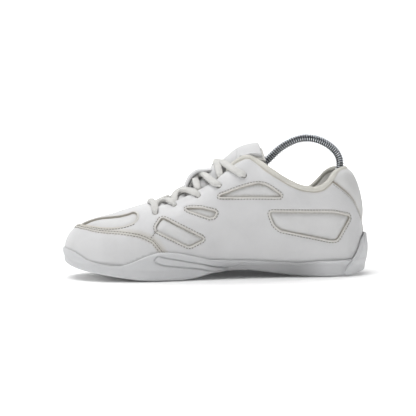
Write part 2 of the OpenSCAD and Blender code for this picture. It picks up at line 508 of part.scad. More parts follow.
module place() translate(centring) children();
place() outsole_toe();
place() midsole_toe();
place() toe_board();
place() toe_cap();
place() toe_vamp();
place() toe_puff();
place() vamp_lining();
place() tree_toe_form();
place() tree_toe_socket();
place() flex_web();
place() flex_vamp();
place() sockliner();
place() lace();
place() outsole_ball();
place() outsole_heel();
place() midsole_ball();
place() midsole_heel();
place() heel_cup();
place() heel_board();
place() heel_panel();
place() heel_counter();
place() quarter_lining();
place() collar_foam();
place() collar_lining();
place() collar_binding();
place() tongue();
place() tongue_loop();
place() tongue_top();
place() tree_spring();
place() tree_knob();
place() tree_knob_socket();
place() toe_patch(-1);  // medial_toe_patch
place() quarter(-1);  // medial_quarter
place() fore_patch(-1);  // medial_fore_patch
place() side_patch(mid_window, mid_places, -1);  // medial_mid_patch
place() side_patch(ankle_window, ankle_places, -1);  // medial_ankle_patch
place() side_patch(heel_window, heel_places, -1);  // medial_heel_patch
place() toe_patch(1);  // lateral_toe_patch
place() quarter(1);  // lateral_quarter
place() fore_patch(1);  // lateral_fore_patch
place() side_patch(mid_window, mid_places, 1);  // lateral_mid_patch
place() side_patch(ankle_window, ankle_places, 1);  // lateral_ankle_patch
place() side_patch(heel_window, heel_places, 1);  // lateral_heel_patch
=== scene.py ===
import math
from itertools import product
import bpy
import numpy as np
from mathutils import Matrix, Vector, kdtree
from mathutils.geometry import delaunay_2d_cdt


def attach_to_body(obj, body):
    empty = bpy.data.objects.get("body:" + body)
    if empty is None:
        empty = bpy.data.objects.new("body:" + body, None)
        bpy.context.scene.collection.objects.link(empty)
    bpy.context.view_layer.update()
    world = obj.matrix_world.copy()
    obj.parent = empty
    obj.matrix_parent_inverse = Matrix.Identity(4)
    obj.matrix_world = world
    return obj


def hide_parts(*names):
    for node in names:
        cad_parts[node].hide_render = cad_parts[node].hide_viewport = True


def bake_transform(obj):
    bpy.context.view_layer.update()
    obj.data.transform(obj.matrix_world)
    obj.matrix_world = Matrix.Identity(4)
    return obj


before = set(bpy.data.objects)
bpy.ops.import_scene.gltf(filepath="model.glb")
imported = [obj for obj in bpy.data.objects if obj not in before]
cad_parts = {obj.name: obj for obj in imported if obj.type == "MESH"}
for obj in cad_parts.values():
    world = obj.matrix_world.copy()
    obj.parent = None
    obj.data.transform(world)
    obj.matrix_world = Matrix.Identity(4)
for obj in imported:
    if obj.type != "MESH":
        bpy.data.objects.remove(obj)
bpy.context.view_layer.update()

# Lengths in this script are millimetres in the shoe's own frame, where x = 0 is a little behind the
# ball; CENTRING moves them to the frame's origin and MM turns them into metres.
MM = 0.001
CENTRING = np.array([-1.88, 0.88, 0.0])


def metres(p):
    """Points of the shoe's own frame, in the row frame's metres."""
    return (np.asarray(p, float) + CENTRING) * MM


# ---------------------------------------------------------------- camera
AIM = metres((-4.8, -0.9, 56.5))
CAMERA_DISTANCE = 1.4
CAMERA_AZIMUTH = math.radians(-7)
CAMERA_ELEVATION = math.radians(5)
SENSOR_WIDTH = 36
LENS = 144.2


def make_camera():
    data = bpy.data.cameras.new("camera")
    data.sensor_width = SENSOR_WIDTH
    data.lens = LENS
    camera = bpy.data.objects.new("camera", data)
    bpy.context.scene.collection.objects.link(camera)
    level = math.cos(CAMERA_ELEVATION)
    back = Vector((math.sin(CAMERA_AZIMUTH) * level, -math.cos(CAMERA_AZIMUTH) * level,
                   math.sin(CAMERA_ELEVATION)))
    camera.location = Vector(AIM) + back * CAMERA_DISTANCE
    camera.rotation_euler = back.to_track_quat("Z", "Y").to_euler()
    bpy.context.scene.camera = camera


make_camera()

# ---------------------------------------------------------------- the form of the upper
# One row per station, from the toe tip to the back of the heel, on the medial side, as in the CAD
# source: four control points [x, distance from the centre line, z], from the feather edge up, then
# what the lateral side adds to the half width and to the height.
FORM = [
    [[-123, 0, 18.5], [-127.5, 0, 31], [-117, 0, 44.5], [-104, 0, 48.3], 0, 0],
    [[-121.2, 10.5, 17.5], [-125.3, 12, 30.5], [-114.5, 8.5, 44.8], [-102.5, 0, 48.8], 0.3, 0],
    [[-115.5, 19.5, 15.5], [-119, 22, 29.5], [-109, 15.5, 46], [-99.5, 0, 49.6], 0.5, 0],
    [[-106, 27, 13.5], [-108.5, 30.5, 29], [-101, 21.5, 48.2], [-94.5, 0, 51], 0.5, 0],
    [[-93, 33, 11.5], [-95, 37, 30], [-90, 25, 51.3], [-87, 0, 52.7], 0.8, 0],
    [[-76, 37.5, 10], [-77, 42, 33], [-76, 27.5, 55.9], [-75.5, 0, 56.1], 1.2, 0],
    [[-57, 39, 9], [-57.5, 43.5, 36], [-58, 27, 61.2], [-58.5, 0, 60.8], 2, 0],
    [[-36, 37, 9], [-36.5, 42, 41], [-38, 26, 66], [-39, 0, 65], 3, 0],
    [[-14, 33, 9.5], [-14, 39, 46], [-15, 27, 79], [-16, 0, 77.5], 4.5, 0],
    [[8, 29.5, 10], [8, 36, 50], [8, 30, 95], [8, 0, 94.5], 5.5, -0.5],
    [[26, 28, 10], [26.5, 34.5, 50], [26.5, 30, 106], [26, 0, 108], 5.5, -1.5],
    [[42, 27.5, 10], [43, 33.5, 42], [43, 31.5, 78], [41.5, 25, 92.5], 5, -3.5],
    [[60, 27.5, 10], [60, 32.5, 36], [60, 32.5, 62], [60.5, 29.5, 80], 4, -5],
    [[78, 28, 10], [79, 32.5, 34], [79, 32.5, 58], [78.5, 28.5, 75.5], 3, -5],
    [[95, 27.5, 9.5], [97, 32, 34], [97.5, 30.5, 66], [95, 22.5, 86], 2, -2.5],
    [[110, 23, 9], [113, 27, 33], [112.5, 24.5, 72], [105, 15, 89], 1.2, -0.5],
    [[120.5, 13.5, 8.5], [124, 16, 32], [122.5, 14, 72.5], [111, 7.5, 89.8], 0.5, 0],
    [[125.5, 0, 8], [130.3, 0, 32], [128, 0, 72], [113.5, 0, 89.8], 0, 0],
]
HEEL_U = len(FORM) - 1
LOOP = 2 * HEEL_U


def centre_y(x):
    return -6 * np.clip(-np.asarray(x, float) / 125, 0, 1) ** 1.4


def make_stations():
    rows = []
    for k in range(LOOP):
        lateral = k > HEEL_U
        row = FORM[LOOP - k if lateral else k]
        side = 1 if lateral else -1
        wide, tall = (row[4], row[5]) if lateral else (0, 0)
        adds = ((wide, 0), (wide, 0), (wide / 2, tall), (wide / 2 if row[3][1] > 0 else 0, tall))
        rows.append([[p[0], centre_y(p[0]) + side * (p[1] + dw), p[2] + dz]
                     for p, (dw, dz) in zip(row[:4], adds)])
    return np.array(rows, float)


STATIONS = make_stations()


def through(a, b, c, d, t):
    """A curve from b to c, with neighbours a and d, at share t of the way."""
    return 0.5 * (2 * b + (c - a) * t + (2 * a - 5 * b + 4 * c - d) * t**2 + (3 * b - a - 3 * c + d) * t**3)


def controls(u):
    k = np.floor(u).astype(int)
    t = (u - k)[:, None, None]
    return through(*[STATIONS[(k + i) % LOOP] for i in (-1, 0, 1, 2)], t)


def wall(uv):
    u, v = uv[:, 0], uv[:, 1][:, None]
    c = controls(u)
    w = 1 - v
    return w**3 * c[:, 0] + 3 * v * w**2 * c[:, 1] + 3 * v * v * w * c[:, 2] + v**3 * c[:, 3]


def wall_slope(uv):
    u, v = uv[:, 0], uv[:, 1][:, None]
    c = controls(u)
    return (-3 * (1 - v)**2 * c[:, 0] + 3 * (1 - v) * (1 - 3 * v) * c[:, 1]
            + 3 * v * (2 - 3 * v) * c[:, 2] + 3 * v * v * c[:, 3])


def unit(a):
    return a / np.maximum(np.linalg.norm(a, axis=-1, keepdims=True), 1e-9)


def at(u, v):
    """Places (u, v) from two rows of numbers, or from a row and one number."""
    return np.column_stack(np.broadcast_arrays(u, v))


def feather(u):
    """The lower edge of the wall."""
    return wall(at(u, 0.0))


def raw_normal(uv):
    flat = at(uv[:, 0], np.minimum(uv[:, 1], 0.97))
    step = np.array([0.03, 0])
    return unit(np.cross(wall(flat + step) - wall(flat - step), wall_slope(flat)))


def wall_normal(uv):
    n = raw_normal(uv)
    top = controls(uv[:, 0])[:, 3]
    ridge = (uv[:, 1] > 0.999) & (np.abs(top[:, 1] - centre_y(top[:, 0])) < 0.05)
    if ridge.any():
        both = n[ridge] + raw_normal(at(LOOP - uv[ridge, 0], uv[ridge, 1]))
        both[:, 1] = 0
        n[ridge] = unit(both)
    return n


def off(u, v, d):
    """One point, moved outwards by d from the outer leather's surface."""
    uv = np.array([[u, v]], float)
    return (wall(uv) + d * wall_normal(uv))[0]


def medial_u(u):
    w = np.mod(u, LOOP)
    return np.where(w <= HEEL_U, w, LOOP - w)


def height_v(u, z):
    """The share v at which the wall at u reaches height z."""
    low, high = np.zeros(len(u)), np.ones(len(u))
    for _ in range(16):
        middle = (low + high) / 2
        below = wall(at(u, middle))[:, 2] < z
        low, high = np.where(below, middle, low), np.where(below, high, middle)
    return (low + high) / 2


def table(rows):
    """A function that reads a list of [place, value] between its rows, by the place on the medial side."""
    places, values = np.array(rows, float).T
    return lambda u: np.interp(medial_u(np.asarray(u, float)), places, values)


toe_cap_v = table([[0, 0.75], [1, 0.745], [2, 0.7], [2.5, 0.68], [2.9, 0.643], [3.5, 0.6], [4.2, 0.555],
                   [4.7, 0.515], [5.2, 0.468], [5.6, 0.427], [5.9, 0.38], [6.06, 0.348], [6.2, 0.322],
                   [6.4, 0.246], [6.6, 0.17]])
heel_seam_v = table([[13.75, 1], [14.03, 0.9], [14.32, 0.831], [14.6, 0.778], [14.9, 0.727], [15.25, 0.671],
                     [15.55, 0.618], [15.85, 0.566], [16.15, 0.508], [16.5, 0.435], [17, 0.33]])
THROAT_U = 6.12
top_v = table([[THROAT_U, 1], [6.17, 0.93], [6.24, 0.86], [6.34, 0.8], [7, 0.8], [7.9, 0.76], [8.6, 0.735],
               [9, 0.77], [9.3, 0.81], [9.65, 0.79], [10, 0.795], [10.4, 0.855], [10.75, 0.95], [11.2, 0.98],
               [11.6, 0.99], [12.9, 0.98], [13.2, 0.945], [13.55, 0.905], [13.9, 0.912], [14.1, 0.935],
               [14.4, 0.975], [14.9, 1], [17, 1]])
lip_z = table([[0, 26.2], [0.8, 25.6], [1.4, 25], [1.95, 23.6], [2.4, 21.2], [2.85, 18], [3.3, 16.2],
               [3.75, 14.8], [4.25, 13.5], [4.7, 13.2], [5.05, 15], [5.4, 17.5], [5.75, 20.5], [6.1, 22.8],
               [6.35, 24], [6.75, 23.8], [7.15, 22.8], [7.5, 21], [7.9, 18.8], [8.25, 16.8], [9, 15.6],
               [10.25, 15], [12.4, 12.4], [12.9, 12.9], [13.35, 13.8], [14.25, 13.9], [15.2, 14.2],
               [17, 14.2]])
TOE_SPRING = [[0, 13.5], [1, 12], [2, 9.8], [3, 7.6], [4, 5.2], [5, 2.6], [5.6, 1], [6.2, 0.2], [7.2, 0.2]]
HEEL_SPRING = [[15.2, 0.2], [16, 1.8], [17, 3]]
medial_base = table(TOE_SPRING + [[7.7, 1.4], [8.4, 5], [9, 6.6], [10, 6.6], [11, 4.6], [12, 1.6],
                                  [12.6, 0.2]] + HEEL_SPRING)
lateral_base = table(TOE_SPRING + [[8.4, 0.6], [11, 0.6], [12, 0.2]] + HEEL_SPRING)


def base_z(u):
    return np.where(np.mod(u, LOOP) > HEEL_U, lateral_base(u), medial_base(u))


# ---------------------------------------------------------------- lines and outlines
def smooth(points, step=0.6, closed=False):
    """A smooth curve through a few points, sampled about every step."""
    p = np.array(points, float)
    n = len(p)
    out = []
    for i in range(n if closed else n - 1):
        if closed:
            a, b, c, d = (p[(i + k) % n] for k in (-1, 0, 1, 2))
        else:
            a, b, c, d = p[max(i - 1, 0)], p[i], p[i + 1], p[min(i + 2, n - 1)]
        count = max(2, int(np.linalg.norm(c - b) / step))
        out += [through(a, b, c, d, k / count) for k in range(count)]
    if not closed:
        out.append(p[-1])
    return np.array(out)


OUTLINE_STEP = 0.6


def rounded(corners, radii):
    """A closed outline with each corner rounded by its own radius."""
    p = np.array(corners, float)
    n = len(p)
    ends = []
    for i in range(n):
        last, following = p[i - 1] - p[i], p[(i + 1) % n] - p[i]
        to_last, to_next = unit(last), unit(following)
        half = math.acos(float(np.clip(to_last @ to_next, -1, 1))) / 2
        reach = min(radii[i] / max(math.tan(half), 0.05), 0.45 * np.linalg.norm(last),
                    0.45 * np.linalg.norm(following))
        ends.append((p[i] + to_last * reach, p[i], p[i] + to_next * reach))
    out = []
    for i, (a, corner, b) in enumerate(ends):
        count = max(3, int(np.linalg.norm(b - a) / OUTLINE_STEP) + 1)
        for t in np.arange(count) / count:
            out.append((1 - t)**2 * a + 2 * t * (1 - t) * corner + t * t * b)
        c = ends[(i + 1) % n][0]
        count = max(1, int(np.linalg.norm(c - b) / OUTLINE_STEP))
        out += [b + (c - b) * t for t in np.arange(count) / count]
    return np.array(out)


GUESS = at(*(a.ravel() for a in np.meshgrid(np.arange(0.2, HEEL_U, 0.2), np.arange(0.04, 0.99, 0.03))))


def from_side(xz):
    """The places (u, v) of points given in side view as (x, z)."""
    xz = np.array(xz, float)
    seen = wall(GUESS)[:, [0, 2]]
    nearest = ((xz[:, None, :] - seen[None]) ** 2).sum(2).argmin(1)
    uv = GUESS[nearest].copy()
    for _ in range(12):
        here = wall(uv)[:, [0, 2]]
        du = (wall(uv + [0.01, 0])[:, [0, 2]] - here) / 0.01
        dv = wall_slope(uv)[:, [0, 2]]
        det = du[:, 0] * dv[:, 1] - du[:, 1] * dv[:, 0]
        miss = xz - here
        a = (miss[:, 0] * dv[:, 1] - miss[:, 1] * dv[:, 0]) / det
        b = (du[:, 0] * miss[:, 1] - du[:, 1] * miss[:, 0]) / det
        uv += at(np.clip(a, -0.3, 0.3), np.clip(b, -0.1, 0.1))
        uv[:, 1] = np.clip(uv[:, 1], 0.02, 0.985)
    return uv


# ---------------------------------------------------------------- lines along the upper
SCALE = np.array([18.0, 75.0])  # roughly how many millimetres a step of 1 is in u and in v


def slopes(uv):
    eu, ev = 0.4 / SCALE
    return ((wall(uv + [eu, 0]) - wall(uv - [eu, 0])) / (2 * eu),
            (wall(uv + [0, ev]) - wall(uv - [0, ev])) / (2 * ev))


def resampled(p, step, least, nearest=int):
    """How far along a route its points lie, and even steps along it, at least as many as asked."""
    run = np.concatenate([[0], np.cumsum(np.linalg.norm(np.diff(p, axis=0), axis=1))])
    return run, np.linspace(0, run[-1], max(least, int(nearest(run[-1] / step))) + 1)


def evened(line, step, closed=False):
    """The line with its points moved to even steps along the upper."""
    uv = np.vstack([line, line[:1]]) if closed else np.array(line, float)
    run, steps = resampled(wall(uv), step, 3, round)
    even = np.column_stack([np.interp(steps, run, uv[:, k]) for k in (0, 1)])
    return even[:-1] if closed else even


def along_line(p, closed):
    return np.roll(p, -1, 0) - np.roll(p, 1, 0) if closed else np.gradient(p, axis=0)


def shifted(line, d, closed=False):
    """The line moved by d millimetres to its left along the upper."""
    line = np.array(line, float)
    step = d * unit(np.cross(wall_normal(line), along_line(wall(line), closed)))
    pa, pb = slopes(line)
    aa, ab, bb = (pa * pa).sum(1), (pa * pb).sum(1), (pb * pb).sum(1)
    ra, rb = (pa * step).sum(1), (pb * step).sum(1)
    det = np.maximum(aa * bb - ab**2, 1e-6)
    return line + at((ra * bb - rb * ab) / det, (rb * aa - ra * ab) / det)


def doubled_area(loop):
    """Twice the area of a loop of places; positive if it runs anticlockwise."""
    x, y = (loop * SCALE).T
    return (x * np.roll(y, -1) - np.roll(x, -1) * y).sum()


def inside(points, loops):
    """Which points lie inside the loops, by the even-odd rule."""
    hit = np.zeros(len(points), bool)
    x, y = points[:, 0], points[:, 1]
    for loop in loops:
        for (x0, y0), (x1, y1) in zip(loop, np.roll(loop, -1, 0)):
            if y0 == y1:
                continue
            crosses = (y0 > y) != (y1 > y)
            hit ^= crosses & (x < (x1 - x0) * (y - y0) / (y1 - y0) + x0)
    return hit


def search_tree(points):
    tree = kdtree.KDTree(len(points))
    for i, p in enumerate(points):
        tree.insert(p, i)
    tree.balance()
    return tree


def distances(points, lines):
    """How far each point is from the nearest of the lines, each an array of points and a closed flag."""
    samples, tails = [], []
    for line, closed in lines:
        following = np.roll(line, -1, 0) if closed else np.vstack([line[1:], line[-1:]])
        last = np.roll(line, 1, 0) if closed else np.vstack([line[:1], line[:-1]])
        samples.append(line)
        tails.append(np.stack([last, following], 1))
    samples, tails = np.vstack(samples), np.vstack(tails)
    tree = search_tree(samples)
    index = np.array([tree.find(p)[1] for p in points])
    a = samples[index]
    best = np.linalg.norm(points - a, axis=1)
    for k in (0, 1):
        ab = tails[index, k] - a
        t = np.clip(((points - a) * ab).sum(1) / np.maximum((ab * ab).sum(1), 1e-12), 0, 1)
        best = np.minimum(best, np.linalg.norm(points - (a + ab * t[:, None]), axis=1))
    return best


def edges_between_joins(loop, joins):
    """The stretches of a loop that don't lie on the joins, each with a closed flag."""
    near = np.zeros(len(loop), bool)
    for join in joins:
        near |= (((loop * SCALE)[:, None] - (np.array(join, float) * SCALE)[None]) ** 2).sum(2).min(1) < 0.01
    if not near.any():
        return [(loop, True)]
    start = int(np.argmax(near & ~np.roll(near, -1)))
    found, run = [], []
    for point, on_join in list(zip(np.roll(loop, -start, 0), np.roll(near, -start))) + [(None, True)]:
        if not on_join:
            run.append(point)
            continue
        if len(run) > 1:
            found.append((np.array(run), False))
        run = []
    return found


class Sheet:
    """A panel over part of the upper. The outline and the holes are closed lines of places, and joins are
    the stretches of the outline where it meets itself, which aren't edges of the leather. The mesh has rings
    of points beside its edges, at these distances, and is spaced evenly over the rest."""

    def __init__(self, outline, holes=(), joins=(), spacing=1.8, rings=(0.25, 0.6, 1.1, 1.6, 2.1, 2.6, 3.4)):
        loops = [np.array(loop, float) for loop in (outline, *holes)]
        for i, loop in enumerate(loops):
            if (doubled_area(loop) > 0) != (i == 0):
                loops[i] = loop[::-1]
        self.loops = loops
        self.edges = [edge for loop in loops for edge in edges_between_joins(loop, joins)]
        flat = [loop * SCALE for loop in loops]
        rows = [shifted(line, d, closed) * SCALE for line, closed in self.edges for d in rings]
        low, high = flat[0].min(0), flat[0].max(0)
        xs, ys = (np.arange(low[k], high[k], spacing) for k in (0, 1))
        grid = np.array([[x + (spacing / 2 if j % 2 else 0), y] for j, y in enumerate(ys) for x in xs])
        points = np.vstack(flat)
        for group, room in [(row, 0.22) for row in rows] + [(grid, spacing * 0.62)]:
            group = group[inside(group, flat)]
            if not len(group):
                continue
            tree = search_tree([(x, y, 0) for x, y in points])
            far = np.array([tree.find((x, y, 0))[2] > room for x, y in group])
            points = np.vstack([points, group[far]])
        edges, start = [], 0
        for loop in flat:
            n = len(loop)
            edges += [(start + i, start + (i + 1) % n) for i in range(n)]
            start += n
        verts, _, faces, *_ = delaunay_2d_cdt([Vector(p) for p in points], edges, [], 1, 1e-7)
        verts = np.array([tuple(v) for v in verts])
        faces = np.array([f for f in faces if len(f) == 3])
        self.faces = faces[inside(verts[faces].mean(1), flat)]
        self.places = verts / SCALE
        self.points = wall(self.places)
        self.normals = wall_normal(self.places)
        self.edge_distance = self.distance(*self.edges)

    def distance(self, *lines):
        """How far the points are from lines of places, each given with a closed flag."""
        return distances(self.points, [(wall(line), closed) for line, closed in lines])

    def distance_to_both(self, line):
        """How far the points are from an open line and from its mirror image."""
        return self.distance((line, False), (mirrored(line), False))

    def raised(self, height):
        """The panel's points, moved out along the normals by height."""
        return self.points + self.normals * np.asarray(height)[:, None]


def rolled(distance, radius, depth):
    """How far an edge has dropped at a distance from it: depth at the edge, nothing past the radius."""
    t = np.clip(1 - distance / radius, 0, 1)
    return -depth * (1 - np.sqrt(1 - t * t))


def bell(distance, width):
    return np.exp(-(distance / width) ** 2)


def groove(distance, width, depth):
    return -depth * bell(distance, width)


def darkened(tint_and_shade, colour, share):
    """The tint with some of a colour, one number or three, taken off by a share at each point."""
    return tint_and_shade * (1 - np.asarray(colour) * share[:, None])


# ---------------------------------------------------------------- mesh pieces
def mesh_piece(name, points, faces, material):
    mesh = bpy.data.meshes.new(name)
    mesh.from_pydata([tuple(p) for p in metres(points)], [], [tuple(int(i) for i in f) for f in faces])
    mesh.validate()
    mesh.polygons.foreach_set("use_smooth", [True] * len(mesh.polygons))
    mesh.materials.append(material)
    mesh.update()
    piece = bpy.data.objects.new(name, mesh)
    bpy.context.scene.collection.objects.link(piece)
    return piece


def with_rim(points, faces, normals, depth):
    """The panel with its open edges turned in by depth, so that it shows the leather's thickness.
    Also returns which point each point comes from."""
    sides = np.vstack([faces[:, [0, 1]], faces[:, [1, 2]], faces[:, [2, 0]]])
    seen = {}
    for a, b in sides:
        key = (min(a, b), max(a, b))
        seen[key] = None if key in seen else (a, b)
    rim = [e for e in seen.values() if e]
    index, source = {}, list(range(len(points)))
    for edge in rim:
        for i in edge:
            if i not in index:
                index[i] = len(source)
                source.append(i)
    added = source[len(points):]
    quads = [(b, a, index[a], index[b]) for a, b in rim]
    return (np.vstack([points, points[added] - normals[added] * depth]),
            [tuple(f) for f in faces] + quads, np.array(source))


WELD = 0.03


def welded(points, faces):
    """The mesh with points that meet joined, and which of the points are left."""
    cells = {}
    target = np.arange(len(points))
    for i, (x, y, z) in enumerate(np.round(points / WELD / 4).astype(int)):
        found = None
        for dx, dy, dz in product((-1, 0, 1), repeat=3):
            for j in cells.get((x + dx, y + dy, z + dz), ()):
                if np.abs(points[j] - points[i]).max() < WELD:
                    found = j
        if found is None:
            cells.setdefault((x, y, z), []).append(i)
        else:
            target[i] = found
    faces = target[faces]
    good = (faces[:, 0] != faces[:, 1]) & (faces[:, 1] != faces[:, 2]) & (faces[:, 0] != faces[:, 2])
    used, back = np.unique(faces[good], return_inverse=True)
    return points[used], back.reshape(-1, 3), used


# The attribute holds each point's own tone and painted shade in seams, grooves and crevices.
def paint(piece, tint_and_shade):
    colours = np.ones((len(tint_and_shade), 4), np.float32)
    colours[:, :3] = tint_and_shade
    layer = piece.data.color_attributes.new(name="tint_and_shade", type="FLOAT_COLOR", domain="POINT")
    layer.data.foreach_set("color", colours.ravel())


def panel(name, sheet, height, material, rim_depth, tint_and_shade):
    """A piece from a sheet raised by height, joined where its edges meet and with turned-in edges."""
    points, faces, used = welded(sheet.raised(height), sheet.faces)
    points, all_faces, source = with_rim(points, faces, sheet.normals[used], rim_depth)
    piece = mesh_piece(name, points, all_faces, material)
    piece.data.materials.append(CUT_EDGE)
    on_rim = np.arange(len(piece.data.polygons)) >= len(faces)
    piece.data.polygons.foreach_set("material_index", on_rim.astype(int))
    paint(piece, tint_and_shade[used][source])
    return piece


def grid_faces(rows, cols, close_rows=False, close_cols=False):
    i, j = np.meshgrid(np.arange(rows if close_rows else rows - 1),
                       np.arange(cols if close_cols else cols - 1), indexing="ij")
    i, j = i.ravel(), j.ravel()
    k, m = (i + 1) % rows, (j + 1) % cols
    return np.column_stack([i * cols + j, k * cols + j, k * cols + m, i * cols + m])


def sideways(route):
    """Two unit vectors across a route at each of its points, without twisting."""
    t = unit(np.gradient(route, axis=0))
    a = np.zeros_like(route)
    a[0] = unit(np.cross(t[0], [0, 1, 0] if abs(t[0, 1]) < 0.8 else [1, 0, 0]))
    for i in range(1, len(route)):
        side = a[i - 1] - t[i] * (a[i - 1] @ t[i])
        a[i] = side / max(np.linalg.norm(side), 1e-9)
    return a, np.cross(t, a)


def even_route(route, step):
    run, steps = resampled(route, step, 4)
    return np.column_stack([np.interp(steps, run, route[:, k]) for k in range(3)])


def relaxed(route, times):
    for _ in range(times):
        route[1:-1] = (route[:-2] + 2 * route[1:-1] + route[2:]) / 4
    return route


def tube(route, radius, sides):
    """The points and faces of a tube; radius is a number or one per point."""
    a, b = sideways(route)
    angle = np.linspace(0, 2 * math.pi, sides, endpoint=False)
    r = np.broadcast_to(np.asarray(radius, float), len(route))[:, None] * np.ones(sides)
    points = (route[:, None] + r[..., None] * (np.cos(angle)[None, :, None] * a[:, None]
                                               + np.sin(angle)[None, :, None] * b[:, None])).reshape(-1, 3)
    faces = [tuple(f) for f in grid_faces(len(route), sides, close_cols=True)]
    n = len(points)
    points = np.vstack([points, route[:1], route[-1:]])
    faces += [(n, (j + 1) % sides, j) for j in range(sides)]
    last = n - sides
    faces += [(n + 1, last + j, last + (j + 1) % sides) for j in range(sides)]
    return points, faces


STITCH_LENGTH = 1.75
STITCH_PITCH = 2.5
THREAD_R = 0.36
STITCH_SIDES = 6


def sew(name, lines, lift):
    """Stitches along lines of places, as a piece that moves with the panel they go through."""
    rings = np.array([-1, -0.72, 0, 0.72, 1]) * STITCH_LENGTH / 2
    size = np.array([0.35, 0.85, 1, 0.85, 0.35]) * THREAD_R
    dip = np.array([-0.32, 0.02, 0.1, 0.02, -0.32])
    angle = np.linspace(0, 2 * math.pi, STITCH_SIDES, endpoint=False)
    points = []
    for line, closed in lines:
        places = evened(line, STITCH_PITCH, closed)
        p, n = wall(places), wall_normal(places)
        along = along_line(p, closed)
        t = unit(along - n * (along * n).sum(1)[:, None])
        s = np.cross(n, t)
        base = p + n * lift
        ring = base[:, None] + t[:, None] * rings[None, :, None] + n[:, None] * dip[None, :, None]
        across = (np.cos(angle)[None, None, :, None] * s[:, None, None]
                  + np.sin(angle)[None, None, :, None] * n[:, None, None])
        points.append((ring[:, :, None] + size[None, :, None, None] * across).reshape(-1, 3))
    points = np.vstack(points)
    block = grid_faces(len(rings), STITCH_SIDES, close_cols=True)
    starts = np.arange(0, len(points), len(rings) * STITCH_SIDES)
    faces = (block[None] + starts[:, None, None]).reshape(-1, 4)
    attach(mesh_piece(name, points, faces, THREAD))


# ---------------------------------------------------------------- materials
def node_with(tree, kind, values, **sources):
    """A node with values for its inputs, and other nodes' outputs linked to them."""
    node = tree.nodes.new(kind)
    for key, value in values.items():
        node.inputs[key].default_value = value
    for key, source in sources.items():
        tree.links.new(source, node.inputs[key])
    return node


def place_of(tree):
    return tree.nodes.new("ShaderNodeTexCoord").outputs["Object"]


def noise(tree, scale, detail, rough=0.55, stretch=None):
    place = place_of(tree)
    if stretch:
        place = node_with(tree, "ShaderNodeMapping", {"Scale": stretch}, Vector=place).outputs["Vector"]
    values = {"Scale": scale, "Detail": detail, "Roughness": rough}
    return node_with(tree, "ShaderNodeTexNoise", values, Vector=place).outputs["Fac"]


def cells(tree, scale):
    node = node_with(tree, "ShaderNodeTexVoronoi", {"Scale": scale}, Vector=place_of(tree))
    node.feature = "DISTANCE_TO_EDGE"
    return node.outputs["Distance"]


def ramp(tree, source, stops):
    node = node_with(tree, "ShaderNodeValToRGB", {}, Fac=source)
    while len(node.color_ramp.elements) < len(stops):
        node.color_ramp.elements.new(0.5)
    for element, (place, colour) in zip(node.color_ramp.elements, stops):
        element.position = place
        element.color = (*colour, 1)
    return node.outputs["Color"]


def mapped(tree, source, from_range, to_range):
    values = dict(zip(("From Min", "From Max", "To Min", "To Max"), (*from_range, *to_range)))
    return node_with(tree, "ShaderNodeMapRange", values, Value=source).outputs["Result"]


def bumped(tree, bsdf, layers):
    """Bumps from (height, strength, distance in metres), the coarsest first."""
    last = None
    for height, strength, distance in layers:
        node = node_with(tree, "ShaderNodeBump", {"Strength": strength, "Distance": distance}, Height=height)
        if last:
            tree.links.new(last, node.inputs["Normal"])
        last = node.outputs["Normal"]
    if last:
        tree.links.new(last, bsdf.inputs["Normal"])


def with_tint_and_shade(tree, colour):
    """The colour times the mesh's own tint attribute, which holds its tones and painted shade in its seams,
    grooves and crevices.
    """
    attribute = tree.nodes.new("ShaderNodeAttribute")
    attribute.attribute_name = "tint_and_shade"
    mix = tree.nodes.new("ShaderNodeMix")
    mix.data_type = "RGBA"
    mix.blend_type = "MULTIPLY"
    mix.inputs["Factor"].default_value = 1
    tree.links.new(colour, mix.inputs["A"])
    tree.links.new(attribute.outputs["Color"], mix.inputs["B"])
    return mix.outputs["Result"]


NOISE_RANGE = (0.3, 0.7)
# Each kind of material: the noise behind its colour (scale, detail and perhaps roughness) and the shares of
# the colour along it, the noise behind its roughness, its bumps (noise, strength, depth in metres) and
# what else it sets.
KINDS = {
    "leather": ((38, 6, 0.6), ((0.3, 0.94), (0.5, 1), (0.7, 1.03)), (160, 5),
                (((60, 3), 0.35, 0.0006), ((420, 4), 0.4, 0.00018)), {"Specular IOR Level": 0.42}),
    "rubber": ((30, 6, 0.65), ((0.3, 0.93), (0.55, 1), (0.75, 1.03)), (120, 5),
               (((90, 3), 0.25, 0.0003), ((1800, 3), 0.35, 0.00008)), {"Specular IOR Level": 0.35}),
    "cloth": ((90, 5), ((0.3, 0.9), (0.6, 1)), None, (), {"Sheen Weight": 0.25, "Roughness": 0.85}),
    "thread": ((500, 3), ((0.3, 0.82), (0.65, 1)), None, (((4000, 2), 0.4, 0.00006),), {"Roughness": 0.75}),
    "steel": ((120, 4), ((0.3, 0.85), (0.65, 1)), (700, 4), (), {"Metallic": 1}),
    "plastic": ((60, 5), ((0.35, 0.85), (0.65, 1)), (300, 4), (((1500, 3), 0.3, 0.00006),), {}),
}


def new_material(name, kind, colour, roughness=None, tint_and_shade=False, grain=None, weave=None):
    """A material of a kind. Roughness is the range it drifts over, grain the scale of a leather's cells, and
    weave the scale and depth of a cloth's threads."""
    blotches, stops, rough_noise, bumps, sockets = KINDS[kind]
    material = bpy.data.materials.new(name)
    material.use_nodes = True
    tree = material.node_tree
    bsdf = tree.nodes["Principled BSDF"]
    for key, value in sockets.items():
        bsdf.inputs[key].default_value = value
    shades = [(place, [c * share for c in colour]) for place, share in stops]
    base = ramp(tree, noise(tree, *blotches), shades)
    tree.links.new(with_tint_and_shade(tree, base) if tint_and_shade else base, bsdf.inputs["Base Color"])
    if roughness:
        drift = mapped(tree, noise(tree, *rough_noise), NOISE_RANGE, roughness)
        tree.links.new(drift, bsdf.inputs["Roughness"])
    layers = [(noise(tree, *args), strength, depth) for args, strength, depth in bumps]
    if grain:
        layers.append((cells(tree, grain), 0.55, 0.00012))
    if weave:
        layers += [(noise(tree, weave[0], 2, 0.5, stretch), 0.5, weave[1])
                   for stretch in ((1, 0.18, 1), (0.18, 1, 0.18))]
    bumped(tree, bsdf, layers)
    return material


